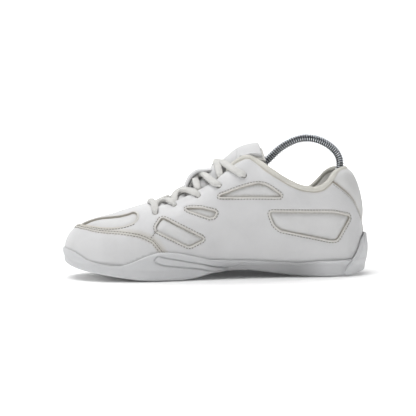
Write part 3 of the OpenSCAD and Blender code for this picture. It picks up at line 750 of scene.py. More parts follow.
LEATHER_ROUGHNESS = (0.42, 0.58)
RUBBER_ROUGHNESS = (0.5, 0.68)
PLASTIC_ROUGHNESS = (0.32, 0.48)
LEATHER_WHITE = (0.70, 0.70, 0.705)
LINEN_WEAVE = (1400, 0.00018)
WHITE = new_material("white_leather", "leather", LEATHER_WHITE, LEATHER_ROUGHNESS, grain=900)
WHITE_TINT_AND_SHADE = new_material("white_leather_tint_and_shade", "leather", LEATHER_WHITE, LEATHER_ROUGHNESS, True, 900)
PATCH = new_material("patch_leather", "leather", (0.69, 0.69, 0.69), LEATHER_ROUGHNESS, True, 1200)
DULL = new_material("heel_leather", "leather", (0.72, 0.72, 0.715), LEATHER_ROUGHNESS, True, 1100)
CUT_EDGE = new_material("cut_edge", "leather", (0.42, 0.39, 0.34), (0.75, 0.9), grain=900)
SOLE = new_material("sole_rubber", "rubber", (0.665, 0.67, 0.68), RUBBER_ROUGHNESS, True)
CUP = new_material("cup_rubber", "rubber", (0.72, 0.725, 0.735), RUBBER_ROUGHNESS, True)
TREAD = new_material("tread_rubber", "rubber", (0.56, 0.56, 0.55), (0.6, 0.8))
BINDING = new_material("binding_cloth", "cloth", (0.71, 0.695, 0.64), weave=LINEN_WEAVE)
LINING = new_material("lining_cloth", "cloth", (0.82, 0.805, 0.765), weave=LINEN_WEAVE)
INSOLE = new_material("insole_cloth", "cloth", (0.62, 0.61, 0.58), weave=(1000, 0.00018))
LACE = new_material("lace_cloth", "cloth", (0.73, 0.725, 0.70), weave=(2600, 0.00012))
THREAD = new_material("thread", "thread", (0.33, 0.31, 0.28))
BOARD = new_material("board", "rubber", (0.45, 0.36, 0.26), RUBBER_ROUGHNESS)
STIFFENER = new_material("stiffener", "rubber", (0.5, 0.49, 0.46), RUBBER_ROUGHNESS)
SPRING = new_material("spring_steel", "steel", (0.7, 0.73, 0.76), (0.14, 0.24))
# A near-black core that stands in for the shade inside the coil.
COIL_SHADE_CORE = new_material("spring_shade_core", "plastic", (0.02, 0.022, 0.026), PLASTIC_ROUGHNESS)
SOCKET = new_material("socket_steel", "steel", (0.5, 0.5, 0.52), (0.22, 0.36))
TREE = new_material("tree_plastic", "plastic", (0.035, 0.035, 0.04), PLASTIC_ROUGHNESS)

# ---------------------------------------------------------------- how pieces move
BEND_FROM = (-30.0, 0, 20)
BEND_TO = (-82.0, 0, 20)


def attach(piece):
    """The piece moves with the rearfoot or the forefoot; one that spans the ball between them keeps its
    place, with its transform baked in.
    """
    xs = np.array([v.co.x for v in piece.data.vertices]) / MM - CENTRING[0]
    if xs.min() >= BEND_FROM[0]:
        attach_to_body(piece, "rearfoot")
    elif xs.max() <= BEND_TO[0]:
        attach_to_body(piece, "forefoot")
    else:
        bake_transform(piece)


# ---------------------------------------------------------------- upper: outlines
def mirrored(places):
    """The same places on the lateral side."""
    return places * [-1, 1]


CIRCLE_POINTS = 20


def circle_at(place, radius):
    """A circle of places round one place, of a radius in millimetres."""
    pa, pb = (slope[0] for slope in slopes(np.array([place], float)))
    e = unit(pa)
    f = unit(pb - e * (pb @ e))
    m = np.array([[pa @ pa, pa @ pb], [pa @ pb, pb @ pb]])
    out = []
    for a in np.linspace(0, 2 * math.pi, CIRCLE_POINTS, endpoint=False):
        want = radius * (math.cos(a) * e + math.sin(a) * f)
        out.append(place + np.linalg.solve(m, [pa @ want, pb @ want]))
    return np.array(out)


WINDOWS = {
    "toe": smooth([(0.8, 0.795), (1.2, 0.855), (1.97, 0.92), (3.36, 0.905), (4.26, 0.842), (4.72, 0.803),
                   (5.15, 0.79), (5.4, 0.795), (5.53, 0.745), (5.53, 0.66), (5.38, 0.608), (5.1, 0.587),
                   (4.7, 0.585), (4.15, 0.612), (3.43, 0.66), (2.72, 0.713), (1.7, 0.765)],
                  step=0.02, closed=True),
    "fore": from_side(rounded([[-46.3, 51.7], [-12, 33.9], [-24.5, 28.1], [-51.1, 41.2], [-51.7, 44.3]],
                              [3.5, 1.2, 5, 3, 3])),
    "mid": from_side(rounded([[-26.2, 58.9], [-14, 58.8], [-1.4, 55.8], [-3.6, 52.3], [-6.9, 51.4],
                              [-24.7, 57.4]], [0.7, 8, 1.4, 1.5, 2, 2])),
    "ankle": from_side(rounded([[1.2, 68.6], [18.6, 74.9], [27, 77.2], [33.6, 78.4], [39.3, 77.5],
                                [44.9, 74.2], [53.5, 67.9], [2.2, 68.2]], [0.8, 12, 14, 12, 8, 12, 1, 0.6])),
    "heel": from_side(rounded([[42.7, 55.1], [96.3, 54], [112.4, 50.6], [99.9, 31.1], [94.2, 31.2],
                               [52.3, 40.2], [46.9, 44.5]], [2, 25, 2.5, 4.5, 4.5, 6, 8])),
}
EYELETS = [(6.34, 0.677), (7.12, 0.726), (7.97, 0.68), (8.71, 0.653), (9.77, 0.614)]
EYELET_R = 2.3
CREASE = from_side(smooth([[-51.9, 41], [-53.6, 39.4], [-55.2, 37.8], [-56.8, 36]]))


def sole_top_v(u, below=2.5):
    """Just under the top of the sole's side, where the leather disappears."""
    return np.maximum(height_v(u, np.maximum(lip_z(u) - below, feather(u)[:, 2] + 0.3)), 0.01)


def unevenness(p):
    """The slight waves of lasted leather."""
    x, y, z = p.T
    return (0.14 * np.sin(x / 7.3 + 1.1) * np.sin(z / 6.1 + 0.4) + 0.10 * np.sin(x / 4.1 - z / 5.3 + y / 9)
            + 0.07 * np.sin(y / 3.7 + x / 11))


def window_rim(distance):
    """The leather beside a window stands up slightly between its cut edge and its stitching."""
    t = np.clip(distance / 2.1, 0, 1)
    return 0.32 * np.sin(math.pi * np.clip(t * 0.75 + 0.25, 0, 1)) * (distance < 2.1)


def ball_creases(p):
    """Fine folds across the leather where the shoe bends."""
    x, z = p[:, 0], p[:, 2]
    zone = np.exp(-((x + 52) / 15) ** 2) * np.clip((z - 26) / 12, 0, 1)
    wave = np.sin((x + 0.35 * (z - 40) + 2.2 * np.sin(z / 5.5)) / 1.9)
    return -0.13 * zone * np.clip(wave, 0, 1) ** 2


# ---------------------------------------------------------------- upper: leather
COLLAR_FROM = 9.12
CAP_END_U = 6.6
SEAM_STEP = 0.9
SEAM_TOP_U = 13.98
THROAT_FRONT_U = 6.4
WINDOW_STITCHES = 2.2  # from a window's edge to its stitching
CREAM = np.array([0.99, 0.965, 0.91])


def upper_outline():
    """The leather's outline, round both sides from the ridge over the toes, and the lines along it."""
    ridge = evened(at(np.linspace(THROAT_U, 0, 60), 1.0), SEAM_STEP)
    front_u = np.linspace(THROAT_U, THROAT_FRONT_U, 14)
    throat_u = np.concatenate([front_u[1:], np.linspace(THROAT_FRONT_U, SEAM_TOP_U, 160)[1:]])
    throat = evened(at(throat_u, top_v(throat_u)), SEAM_STEP)
    front = evened(at(front_u, top_v(front_u)), SEAM_STEP)
    seam_u = np.linspace(SEAM_TOP_U, HEEL_U, 60)
    seam = evened(at(seam_u, heel_seam_v(seam_u)), SEAM_STEP)
    foot_u = np.linspace(HEEL_U, 0, 260)
    foot = evened(at(foot_u, sole_top_v(foot_u)), SEAM_STEP * 1.6)
    back = evened([[HEEL_U, heel_seam_v(HEEL_U)], [HEEL_U, foot[0, 1]]], SEAM_STEP)
    medial = np.vstack([ridge[::-1][:-1], front[:-1], throat[:-1], seam[:-1], back[:-1], foot[:-1]])
    whole = np.vstack([medial, foot[-1:], mirrored(medial)[::-1][:-1]])
    return whole, [ridge, mirrored(ridge), back, mirrored(back)], throat, seam


def make_upper_leather():
    whole, joins, throat, seam = upper_outline()
    windows = [evened(one, 0.8, closed=True) for loop in WINDOWS.values() for one in (loop, mirrored(loop))]
    eyelets = [circle_at(np.array(place) * [side, 1], EYELET_R) for place in EYELETS for side in (1, -1)]
    sheet = Sheet(whole, windows + eyelets, joins)
    d_window = sheet.distance(*[(w, True) for w in windows])
    d_crease = sheet.distance_to_both(CREASE)
    d_collar = sheet.distance_to_both(throat[throat[:, 0] > COLLAR_FROM])
    d_seam = sheet.distance_to_both(seam)
    cap_u = np.linspace(-CAP_END_U, CAP_END_U, 240)
    d_cap = sheet.distance((at(cap_u, toe_cap_v(cap_u)), False))
    height = (unevenness(sheet.points) + ball_creases(sheet.points) + rolled(sheet.edge_distance, 0.9, 0.5)
              + window_rim(d_window) + groove(d_window - WINDOW_STITCHES, 0.45, 0.22)
              + groove(d_crease, 0.5, 0.55) + groove(d_collar - 2.1, 0.9, 0.5))
    tint_and_shade = darkened(1, 1 - CREAM, np.clip((2.0 - d_window) / 0.5, 0, 1))
    # Painted shade from here on: in the stitch grooves, along the windows' cut edges, warm beside the toe
    # cap's edge, in the crease, brownish along the heel seam and under the collar roll.
    tint_and_shade = darkened(tint_and_shade, 0.06, bell(d_window - WINDOW_STITCHES, 0.5))
    tint_and_shade = darkened(tint_and_shade, 0.45, bell(d_window, 0.35))
    tint_and_shade = darkened(tint_and_shade, [0.05, 0.07, 0.11], np.clip((3.4 - d_cap) / 1.5, 0, 1))
    tint_and_shade = darkened(tint_and_shade, 0.2, bell(d_crease, 0.6))
    tint_and_shade = darkened(tint_and_shade, [0.35, 0.42, 0.52], bell(d_seam, 0.5))
    tint_and_shade = darkened(tint_and_shade, [0.3, 0.35, 0.44], bell(d_collar - 2.2, 0.7))
    piece = panel("upper_leather", sheet, height, WHITE_TINT_AND_SHADE, 1.5, tint_and_shade)
    attach(piece)
    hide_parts("toe_vamp", "flex_vamp", "medial_quarter", "lateral_quarter")

    lines = []
    for loop, name in zip(sheet.loops[1:], [name for name in WINDOWS for _ in (0, 1)]):
        line = shifted(loop, WINDOW_STITCHES, closed=True)
        if name == "toe":  # only where the toe cap doesn't cover it
            line = line[(line[:, 1] < toe_cap_v(line[:, 0]) + 0.12) & (np.abs(line[:, 0]) > 1.3)]
            lines.append((line[np.argsort(line[:, 0])], False))
        else:
            lines.append((line, True))
    under = shifted(seam, -1.7)
    under = under[(under[:, 0] < HEEL_U) & (under[:, 0] > 14.1)]
    for line in (under, CREASE + [0.045, 0]):
        lines += [(line, False), (mirrored(line), False)]
    sew("upper_stitching", lines, 0.02)


CAP_RAISED = 1.25
CAP_STITCHES = (1.6, 3.7)


def make_toe_cap():
    us = np.linspace(-CAP_END_U, CAP_END_U, 240)
    top = evened(at(us, toe_cap_v(us)), SEAM_STEP)
    low = evened(at(us[::-1], sole_top_v(us[::-1], 3.5)), 1.4)
    sheet = Sheet(np.vstack([top[::-1], low[::-1]]))
    d_top = sheet.distance((top, False))
    d_low = sheet.distance((low, False))
    height = CAP_RAISED + unevenness(sheet.points) + rolled(sheet.edge_distance, 1.0, 0.7)
    tint_and_shade = darkened(1, [0.03, 0.06, 0.13], np.clip((4.4 - d_top) / 1.2, 0, 1))
    lines = []
    for d in CAP_STITCHES:
        height = height + groove(d_top - d, 0.4, 0.2)
        # Painted shade in the stitch groove.
        tint_and_shade = darkened(tint_and_shade, 0.3, bell(d_top - d, 0.45))
        line = shifted(top, -d)
        lines.append((line[np.abs(line[:, 0]) < 6.45], False))
    # Painted shade along the cap's raised top edge.
    tint_and_shade = darkened(tint_and_shade, 0.35, bell(d_top, 0.4))
    # Painted shade where the cap meets the sole's lip.
    tint_and_shade = darkened(tint_and_shade, 0.34, np.clip((4.9 - d_low) / 1.3, 0, 1))
    piece = panel("toe_cap_leather", sheet, height, WHITE_TINT_AND_SHADE, 1.6, tint_and_shade)
    attach(piece)
    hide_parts("toe_cap")
    sew("toe_cap_stitching", lines, CAP_RAISED)


def make_heel_panel():
    us = np.linspace(13.86, LOOP - 13.86, 160)
    high_v = np.minimum(top_v(us), 0.999)
    low_v = np.clip(np.minimum(heel_seam_v(us) - 0.045, high_v - 0.01), 0.02, 1)
    low = evened(at(us, low_v), 1.2)
    top = evened(at(us, high_v)[::-1], 1.2)
    sheet = Sheet(np.vstack([low, top]))
    d_low = sheet.distance((low, False))
    d_top = sheet.distance((top, False))
    puff = 3.6 * (1 - np.exp(-(np.maximum(d_low - 3.8, 0) / 6) ** 1.3))
    height = -1.5 + puff * (1 - 0.5 * bell(d_top, 4)) + unevenness(sheet.points)
    # Painted shade: brownish in the seam gap along the lower edge, and darker and warmer towards the bottom.
    tint_and_shade = darkened(1, [0.6, 0.66, 0.75], bell(np.maximum(d_low - 3.4, 0), 1.1))
    tint_and_shade = darkened(tint_and_shade, [0.2, 0.22, 0.25], np.clip((60 - sheet.raised(height)[:, 2]) / 22, 0, 1))
    piece = panel("heel_panel_leather", sheet, height, DULL, 1.2, tint_and_shade)
    attach(piece)
    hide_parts("heel_panel")


PUFF = {"toe": 0.9, "fore": 1.3, "mid": 0.6, "ankle": 1.1, "heel": 1.5}
PATCH_MARGIN = 1.6  # how far a patch runs on under the leather round its window
PATCH_DEPTH = 1.5


def make_patches():
    for name, loop in WINDOWS.items():
        for side in ("medial", "lateral"):
            window = evened(loop if side == "medial" else mirrored(loop), 1.0, closed=True)
            if doubled_area(window) < 0:
                window = window[::-1]
            outline = shifted(window, -PATCH_MARGIN, closed=True)
            outline[:, 1] = np.clip(outline[:, 1], 0.05, 0.97)
            sheet = Sheet(outline, rings=(0.8,), spacing=1.4)
            d = np.maximum(sheet.edge_distance - PATCH_MARGIN, 0)
            height = -PATCH_DEPTH + PUFF[name] * (1 - np.exp(-(d / 3.2) ** 1.4)) + unevenness(sheet.points)
            # Painted shade round the patch's edge, under the window's leather.
            tint_and_shade = darkened(1, [0.28, 0.3, 0.34], bell(d, 0.7))
            piece = panel(f"{side}_{name}_patch_leather", sheet, height, PATCH, 0.9, tint_and_shade)
            attach(piece)
            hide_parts(f"{side}_{name}_patch")


make_upper_leather()
make_toe_cap()
make_heel_panel()
make_patches()


# ---------------------------------------------------------------- collar and linings
def make_collar_roll():
    u = np.linspace(COLLAR_FROM - 0.12, LOOP - COLLAR_FROM + 0.12, 700)
    uv = at(u, np.minimum(top_v(u), 0.999))
    route = relaxed(even_route(wall(uv) - 1.7 * wall_normal(uv), 0.8), 6)
    i = np.arange(len(route))
    ends = np.minimum(i, i[::-1]) * 0.8
    radius = 2.35 * np.sqrt(np.clip(ends / 2.5, 0.05, 1)) + 0.08 * np.sin(i * 0.33)
    piece = mesh_piece("collar_roll", *tube(route, radius, 16), BINDING)
    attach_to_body(piece, "rearfoot")
    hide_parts("collar_binding")


LINING_DEPTH = 4.4
LINING_ROWS = 26


def skin(name, u, low, high, depth):
    """An inward-facing cloth between two lines, at a depth that varies from its low to its high edge."""
    uu = np.repeat(u, LINING_ROWS)
    tt = np.tile(np.linspace(0, 1, LINING_ROWS), len(u))
    uv = at(uu, np.repeat(low, LINING_ROWS) * (1 - tt) + np.repeat(high, LINING_ROWS) * tt)
    points = wall(uv) - wall_normal(uv) * depth(uu, tt)[:, None]
    piece = mesh_piece(name, points, grid_faces(len(u), LINING_ROWS)[:, ::-1], LINING)
    attach(piece)
    return piece


def make_linings():
    u = np.linspace(9.3, LOOP - 9.3, 260)
    high = np.minimum(top_v(u), 1.0)
    heel = np.clip((medial_u(u) - 15) / 2, 0, 1)

    def pad_depth(uu, tt):
        full = 6.6 - 1.6 * np.interp(uu, u, heel)
        belly = np.sin(math.pi * np.clip(tt, 0, 1) ** 0.8) ** 0.7
        quilt = 0.12 * np.sin(uu * 9) * belly
        return 3.0 + (full - 3.0) * belly + 1.3 * (1 - tt) + quilt

    pad = skin("collar_pad", u, high - 0.30, high, pad_depth)
    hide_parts("collar_foam", "collar_lining")

    def cloth_depth(uu, tt):
        return (LINING_DEPTH - 2.6 * np.clip(tt * 12 - 11, 0, 1)
                + 0.05 * np.sin(uu * 31) * np.sin(tt * 40))

    u = np.linspace(6.15, LOOP - 6.15, 300)
    m = medial_u(u)
    top = np.where(m < 9.6, top_v(u), top_v(u) - 0.27 * np.clip((m - 9.4) / 0.6, 0, 1))
    quarters = skin("quarter_lining_cloth", u, height_v(u, feather(u)[:, 2] + 4), top, cloth_depth)
    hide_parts("quarter_lining")

    u = np.linspace(-6.2, 6.2, 180)
    low = height_v(np.mod(u, LOOP), feather(u)[:, 2] + 4)
    vamp = skin("vamp_lining_cloth", u, low, np.ones(len(u)), lambda uu, tt: np.full(len(uu), LINING_DEPTH))
    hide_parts("vamp_lining")


def make_insole():
    u = np.linspace(0, LOOP, 240, endpoint=False)
    edge = feather(u)
    x = np.clip(controls(u)[:, 3, 0], -100, 106)
    spine = np.column_stack([x, centre_y(x), (edge[:, 2] + edge[-np.arange(len(u)), 2]) / 2])
    t = np.concatenate([[0, 0.015, 0.05], np.linspace(0.1, 1, 14)])
    start = edge + unit(spine - edge) * 5.6
    points = start[:, None] * (1 - t)[None, :, None] + spine[:, None] * t[None, :, None]
    points[:, :, 2] += np.interp(t, [0, 0.015, 0.05, 0.1, 1], [2.4, 4.2, 5.1, 5.3, 5.2])
    faces = grid_faces(len(u), len(t), close_rows=True)
    piece = mesh_piece("insole_cloth", points.reshape(-1, 3), faces, INSOLE)
    attach(piece)
    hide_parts("sockliner")


# ---------------------------------------------------------------- sole
SOLE_WALL = 2.7
TEARDROP = np.vstack([smooth([(-54, 18), (-52.3, 20.2), (-49.7, 20.8), (-41.1, 18.8), (-32.4, 17.2),
                              (-24.5, 15.5), (-15.7, 13.8), (-3.4, 11), (8, 9.4)], 2),
                      smooth([(8, 8.8), (-3.4, 6.8), (-15.7, 9.5), (-32.3, 11.8), (-45.3, 13.5),
                              (-52.8, 16)], 2)])
BAND_EDGE = np.array([(-30, 1.5), (-16, 2.8), (-4, 5.5), (2, 7.2), (12, 10.2), (20.5, 13.2)])


def side_points(u, z, d):
    """Points at height z, out by d from the upper, or from its feather edge below that."""
    uv = at(u, height_v(u, np.maximum(z, feather(u)[:, 2] + 0.5)))
    p = wall(uv) + wall_normal(uv) * np.reshape(d, (-1, 1))
    p[:, 2] = z
    return p


def spine_under(u):
    """Points (x, y) of the centre line that lie across from the wall at u."""
    x = controls(u)[:, 3, 0]
    return np.column_stack([x, centre_y(x)])


def teardrop_distance(x, z):
    best = np.full(len(x), 1e3)
    for (ax, az), (bx, bz) in zip(TEARDROP, np.roll(TEARDROP, -1, 0)):
        dx, dz = bx - ax, bz - az
        t = np.clip(((x - ax) * dx + (z - az) * dz) / max(dx * dx + dz * dz, 1e-9), 0, 1)
        best = np.minimum(best, np.hypot(x - ax - t * dx, z - az - t * dz))
    return best


def sculpt(x, z):
    """How far the sole's side stands out or in, by its place in side view."""
    d = groove(teardrop_distance(x, z), 0.62, 1.15) + 0.25 * inside(np.column_stack([x, z]), [TEARDROP])
    behind = np.clip((np.interp(x, *BAND_EDGE.T) - z) / 0.5 + 0.5, 0, 1) * (x > -29) * (x < 20.4)
    behind = np.where(x >= 20.4, 1, behind)
    waist = np.clip((x + 8) / 20, 0, 1) * np.clip((90 - x) / 30, 0, 1)
    low = np.clip((12.5 - z) / 9, 0, 1)
    return d - 1.1 * behind - 4.5 * waist * low ** 0.8


def grey(values):
    return np.repeat(np.reshape(values, (-1, 1)), 3, axis=1)


def sole_painted_shade(p, crevice):
    """Painted shade: darker in the crevice behind the lip, in the moulded lines and where the waist is
    undercut, more on the medial side.
    """
    x, y, z = p.T
    waist = np.clip((x + 14) / 22, 0, 1) * np.clip((92 - x) / 24, 0, 1) * np.where(y < 0, 1, 0.5)
    low = np.clip((17 - z) / 6, 0, 1)
    line = bell(teardrop_distance(x, z), 0.6)
    return grey((1 - 0.34 * waist * low) * (1 - 0.3 * line * (np.abs(y) > 20)) * (1 - 0.6 * crevice))


LIP = [(-2.2, -0.5), (-1.4, 0.35), (-0.3, 0.75), (0.1, 1.2), (0.1, 1.8), (-0.25, 2.3), (-0.8, 2.6)]
CREVICE_ROWS = 3
LEAST_SOLE = 5.0
SOLE_ROUND_H = 3.0
SOLE_ROUND_IN = 3.6


def make_sole_side():
    """The midsole's lip, side and underside, in rows from the leather down and in to the centre line."""
    u = np.concatenate([np.arange(-10.6, 10.6, 0.05), np.arange(10.6, LOOP - 10.6, 0.09)])
    top = lip_z(u)
    base = np.minimum(base_z(u), top - LEAST_SOLE)
    rows = [side_points(u, top + dz, d * np.ones(len(u))) for dz, d in LIP]
    for t in np.linspace(0, 1, 34):
        z = (top - 1.0) * (1 - t) + (base + SOLE_ROUND_H) * t
        x = side_points(u, z, np.full(len(u), SOLE_WALL))[:, 0]
        fade = np.clip((top - 0.6 - z) / 1.2, 0, 1)
        rows.append(side_points(u, z, SOLE_WALL + sculpt(x, z) * fade))
    corner = rows[-1]
    spine_xy = spine_under(u)
    inward = unit(spine_xy - corner[:, :2])
    for a in np.radians([12, 25, 40, 55, 70, 82, 90]):
        p = corner.copy()
        p[:, :2] += inward * (SOLE_ROUND_IN * (1 - math.cos(a)))
        p[:, 2] = base + SOLE_ROUND_H * (1 - math.sin(a))
        rows.append(p)
    rim = rows[-1]
    around = np.mod(u, LOOP)
    order = np.argsort(around)
    mean = (base + np.interp(np.mod(-u, LOOP), around[order], base[order])) / 2
    spine = np.column_stack([spine_xy, mean])
    rows += [rim * (1 - t) + spine * t for t in np.linspace(0, 1, 12)[1:]]
    points = np.stack(rows, 1).reshape(-1, 3)
    piece = mesh_piece("sole_body", points, grid_faces(len(u), len(rows), close_rows=True)[:, ::-1], SOLE)
    paint(piece, sole_painted_shade(points, np.tile(np.arange(len(rows)) < CREVICE_ROWS, len(u))))
    attach(piece)
    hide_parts("midsole_toe", "flex_web", "midsole_ball", "midsole_heel")


def make_outsoles():
    """The treaded pads under the ball and the heel."""
    for name, start, stop, nodes in (("outsole_front", -7.3, 7.3, ("outsole_toe", "outsole_ball")),
                                     ("outsole_back", 12.2, LOOP - 12.2, ("outsole_heel",))):
        u = np.arange(start, stop + 0.001, 0.07)
        base = base_z(u)
        corner = side_points(u, base + 3, np.full(len(u), SOLE_WALL))[:, :2]
        xy = spine_under(u)
        edge = np.column_stack([corner + unit(xy - corner) * 4.6, base])
        spine = np.column_stack([xy, (base + base[::-1]) / 2])
        rows = []
        for t, drop in [(0, 0.7), (0, 0.35), (0.006, 0.1)] + [(t, 0) for t in np.linspace(0.03, 1, 44)]:
            p = edge * (1 - t) + spine * t
            wave = np.sin(p[:, 0] / 0.95 + 1.6 * np.sin(p[:, 1] / 3.0))
            tread = 0.55 * np.clip(wave * 2.2, -1, 1) if 0.02 < t < 1 else 0
            p[:, 2] += drop - 0.25 + 0.25 * (tread + 1) * (t > 0.02) - 0.1
            p[:, 2] = np.maximum(p[:, 2], 0.02)
            rows.append(p)
        points = np.stack(rows, 1).reshape(-1, 3)
        piece = mesh_piece(name, points, grid_faces(len(u), len(rows))[:, ::-1], TREAD)
        attach(piece)
        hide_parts(*nodes)


CUP_FROM = 14.75
CUP_TOP = np.array([(14.75, 2.8), (14.9, 8), (15.15, 12.5), (15.5, 17.5), (15.8, 24), (16.05, 30),
                    (16.5, 33.5), (17, 35)])


def make_heel_cup():
    u = np.linspace(CUP_FROM, LOOP - CUP_FROM, 190)
    m = medial_u(u)
    high = np.interp(m, *CUP_TOP.T)
    base = base_z(u) + 0.5
    rows = [side_points(u, np.maximum(high + dz, base + 1), d * np.ones(len(u)))
            for dz, d in [(-1.6, 0.0), (-0.4, 0.5), (0.15, 1.4), (-0.3, 2.6), (-0.9, 3.3)]]
    for t in np.linspace(0, 1, 30):
        z = np.maximum(high - 1.4, base + 1) * (1 - t) + (base + 1) * t
        swell = 1.6 * np.sin(math.pi * np.clip((z - 2) / 30, 0, 1))
        fold = groove(z - 14.5 - 0.15 * (m - 15), 0.5, 0.35)
        rows.append(side_points(u, z, 3.45 + swell + fold))
    points = np.stack(rows, 1).reshape(-1, 3)
    piece = mesh_piece("heel_cup_rubber", points, grid_faces(len(u), len(rows))[:, ::-1], CUP)
    # Painted shade on the two rows in the crevice under the leather.
    paint(piece, grey(1 - 0.38 * np.tile(np.arange(len(rows)) < 2, len(u))))
    attach(piece)
    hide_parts("heel_cup")


# ---------------------------------------------------------------- tongue
TONGUE_T = 4.0
# Rows over the free end: x, z, half the width, how far the edges droop, and how far back they lie.
TONGUE_END = [(19.5, 106.1, 12, 8.5, 0), (24, 108.1, 12.2, 8, 0), (29, 109.5, 12.8, 7.8, 0.2),
              (34, 110.7, 13.8, 8.8, 0.7), (37.8, 111.6, 14.8, 10.3, 1.6)]


def tongue_bulge(x):
    """How far the padded tongue swells above the ridge between the laces."""
    return np.interp(x, [-34, -24, -16, -10, -5, -1, 2, 6, 9, 11.5, 14, 20],
                     [-1.3, -0.6, 1.0, 2.6, 5.2, 6.0, 4.6, 3.6, 5.0, 5.0, 4.5, 4.5])


def tongue_grid():
    """The top face of the tongue, from under the vamp to its free end: rows along it, columns across."""
    t = np.linspace(-1, 1, 41)
    v = 1 - 0.42 * np.abs(t)
    depth = np.interp(v, [0.5, 0.84, 0.93, 1], [7, 6, 2.6, 1.3])
    middle = np.abs(t) < 1e-6
    rows = []
    for u in np.linspace(6.0, 9.3, 66):
        uv = at(np.where(t <= 0, u, LOOP - u), v)
        p = wall(uv) - wall_normal(uv) * depth[:, None]
        p[middle, 1] = centre_y(p[middle, 0])
        p[:, 2] += tongue_bulge(p[:, 0]) * (1 - np.clip(np.abs(t) / 0.62, 0, 1) ** 2) ** 1.5
        rows.append(p)
    keys = [rows[-1]] + [np.column_stack([x + back * t * t, t * half, z - droop * np.abs(t) ** 1.7])
                         for x, z, half, droop, back in TONGUE_END]
    for i in range(len(keys) - 1):
        before = keys[0] * 2 - keys[1] if i == 0 else keys[i - 1]
        after = keys[min(i + 2, len(keys) - 1)]
        rows += [through(before, keys[i], keys[i + 1], after, k / 8) for k in range(1, 9)]
    return np.array(rows)


def padded_slab(top, thickness, edge):
    """A closed slab under a grid of points, with rounded edges."""
    rows, cols = top.shape[:2]
    n = unit(np.cross(np.gradient(top, axis=0), np.gradient(top, axis=1)))
    if n[:, :, 2].mean() < 0:
        n = -n
    layers = []
    for share, inset in ((0, 1.0), (0.12, 0.35), (0.35, 0), (0.65, 0), (0.88, 0.35), (1, 1.0)):
        g = top - n * thickness * share
        pull = inset * edge
        moved = g.copy()
        moved[0] += unit(g[1] - g[0]) * pull
        moved[-1] += unit(g[-2] - g[-1]) * pull
        moved[:, 0] += unit(g[:, 1] - g[:, 0]) * pull
        moved[:, -1] += unit(g[:, -2] - g[:, -1]) * pull
        layers.append(moved.reshape(-1, 3))
    m = rows * cols
    sheet = grid_faces(rows, cols)
    faces = [tuple(f) for f in sheet] + [tuple(f[::-1] + m * (len(layers) - 1)) for f in sheet]
    index = np.arange(m).reshape(rows, cols)
    loop = [*index[0], *index[1:, -1], *index[-1, -2::-1], *index[-2:0:-1, 0]]
    for k in range(len(layers) - 1):
        for a, b in zip(loop, loop[1:] + loop[:1]):
            faces.append((a + k * m, a + (k + 1) * m, b + (k + 1) * m, b + k * m))
    return np.concatenate(layers), faces


def make_tongue():
    top = tongue_grid()
    across = np.linspace(-1, 1, top.shape[1])
    along = np.arange(top.shape[0])
    free = np.clip((along - 62) / 14, 0, 1)
    belly = np.clip(1 - across ** 4, 0, 1)
    lift = 0.9 * free[:, None] * belly[None] * (1 - np.clip((along - 92) / 12, 0, 1)[:, None])
    seam = bell(np.abs(across) - 0.86, 0.035)[None] * (along > 20)[:, None]
    top = top + np.array([0, 0, 1.0]) * (lift - 0.35 * seam)[:, :, None]
    split = int(np.argmin(np.abs(top[:, 20, 0] + 27)))
    front = mesh_piece("tongue_front", *padded_slab(top[:split + 3], TONGUE_T, 1.2), WHITE)
    attach(front)
    rear = mesh_piece("tongue_rear", *padded_slab(top[split:], TONGUE_T, 1.2), WHITE)
    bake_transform(rear)
    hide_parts("tongue", "tongue_top")
    under = top[split + 16:] - np.array([-0.6, 0, 4.6])
    under[:, :, 0] += 2.2 * np.linspace(0, 1, len(under))[:, None]
    piece = mesh_piece("tongue_lining", *padded_slab(under, 1.5, 0.6), LINING)
    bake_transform(piece)


STRAP_HALF_W = 6.3
STRAP_ROUTE = [(-25.8, 71.5), (-24.2, 78.5), (-20.6, 85), (-15.4, 88.9), (-10, 89.9), (-5.5, 90.2),
               (-1.5, 90.4)]


def make_tongue_loop():
    path = smooth([(x, 0, z) for x, z in STRAP_ROUTE], 0.8)
    path[:, 1] = centre_y(path[:, 0])
    t = unit(np.gradient(path, axis=0))
    outwards = np.column_stack([-t[:, 2], 0 * t[:, 0], t[:, 0]])
    across = np.linspace(-STRAP_HALF_W, STRAP_HALF_W, 15)
    grid = path[:, None] + np.array([0, 1.0, 0]) * across[None, :, None]
    droop = np.where(across < 0, 1.5, 4.5) * (across / STRAP_HALF_W) ** 2
    grid = grid - outwards[:, None] * droop[None, :, None]
    piece = mesh_piece("tongue_loop_strap", *padded_slab(grid, 1.9, 0.6), WHITE)
    attach(piece)
    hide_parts("tongue_loop")


# ---------------------------------------------------------------- lace
LACE_HALF_W = 2.95
LACE_HALF_T = 2.1
PINCHED_HALF_W = 2.0
PINCHED_HALF_T = 1.85
LACE_UNDER = 3.7
LACE_OVER = 1.95
LACE_STEP = 0.45
LACE_SIDES = 20


def on_side(u, side):
    return u if side < 0 else LOOP - u


def lace_entry(k, side):
    u, v = EYELETS[k]
    return [off(on_side(u, side), v + rise, d)
            for rise, d in ((0.012, 0.5), (0, -1.6), (0.01, -LACE_UNDER - 0.6))]


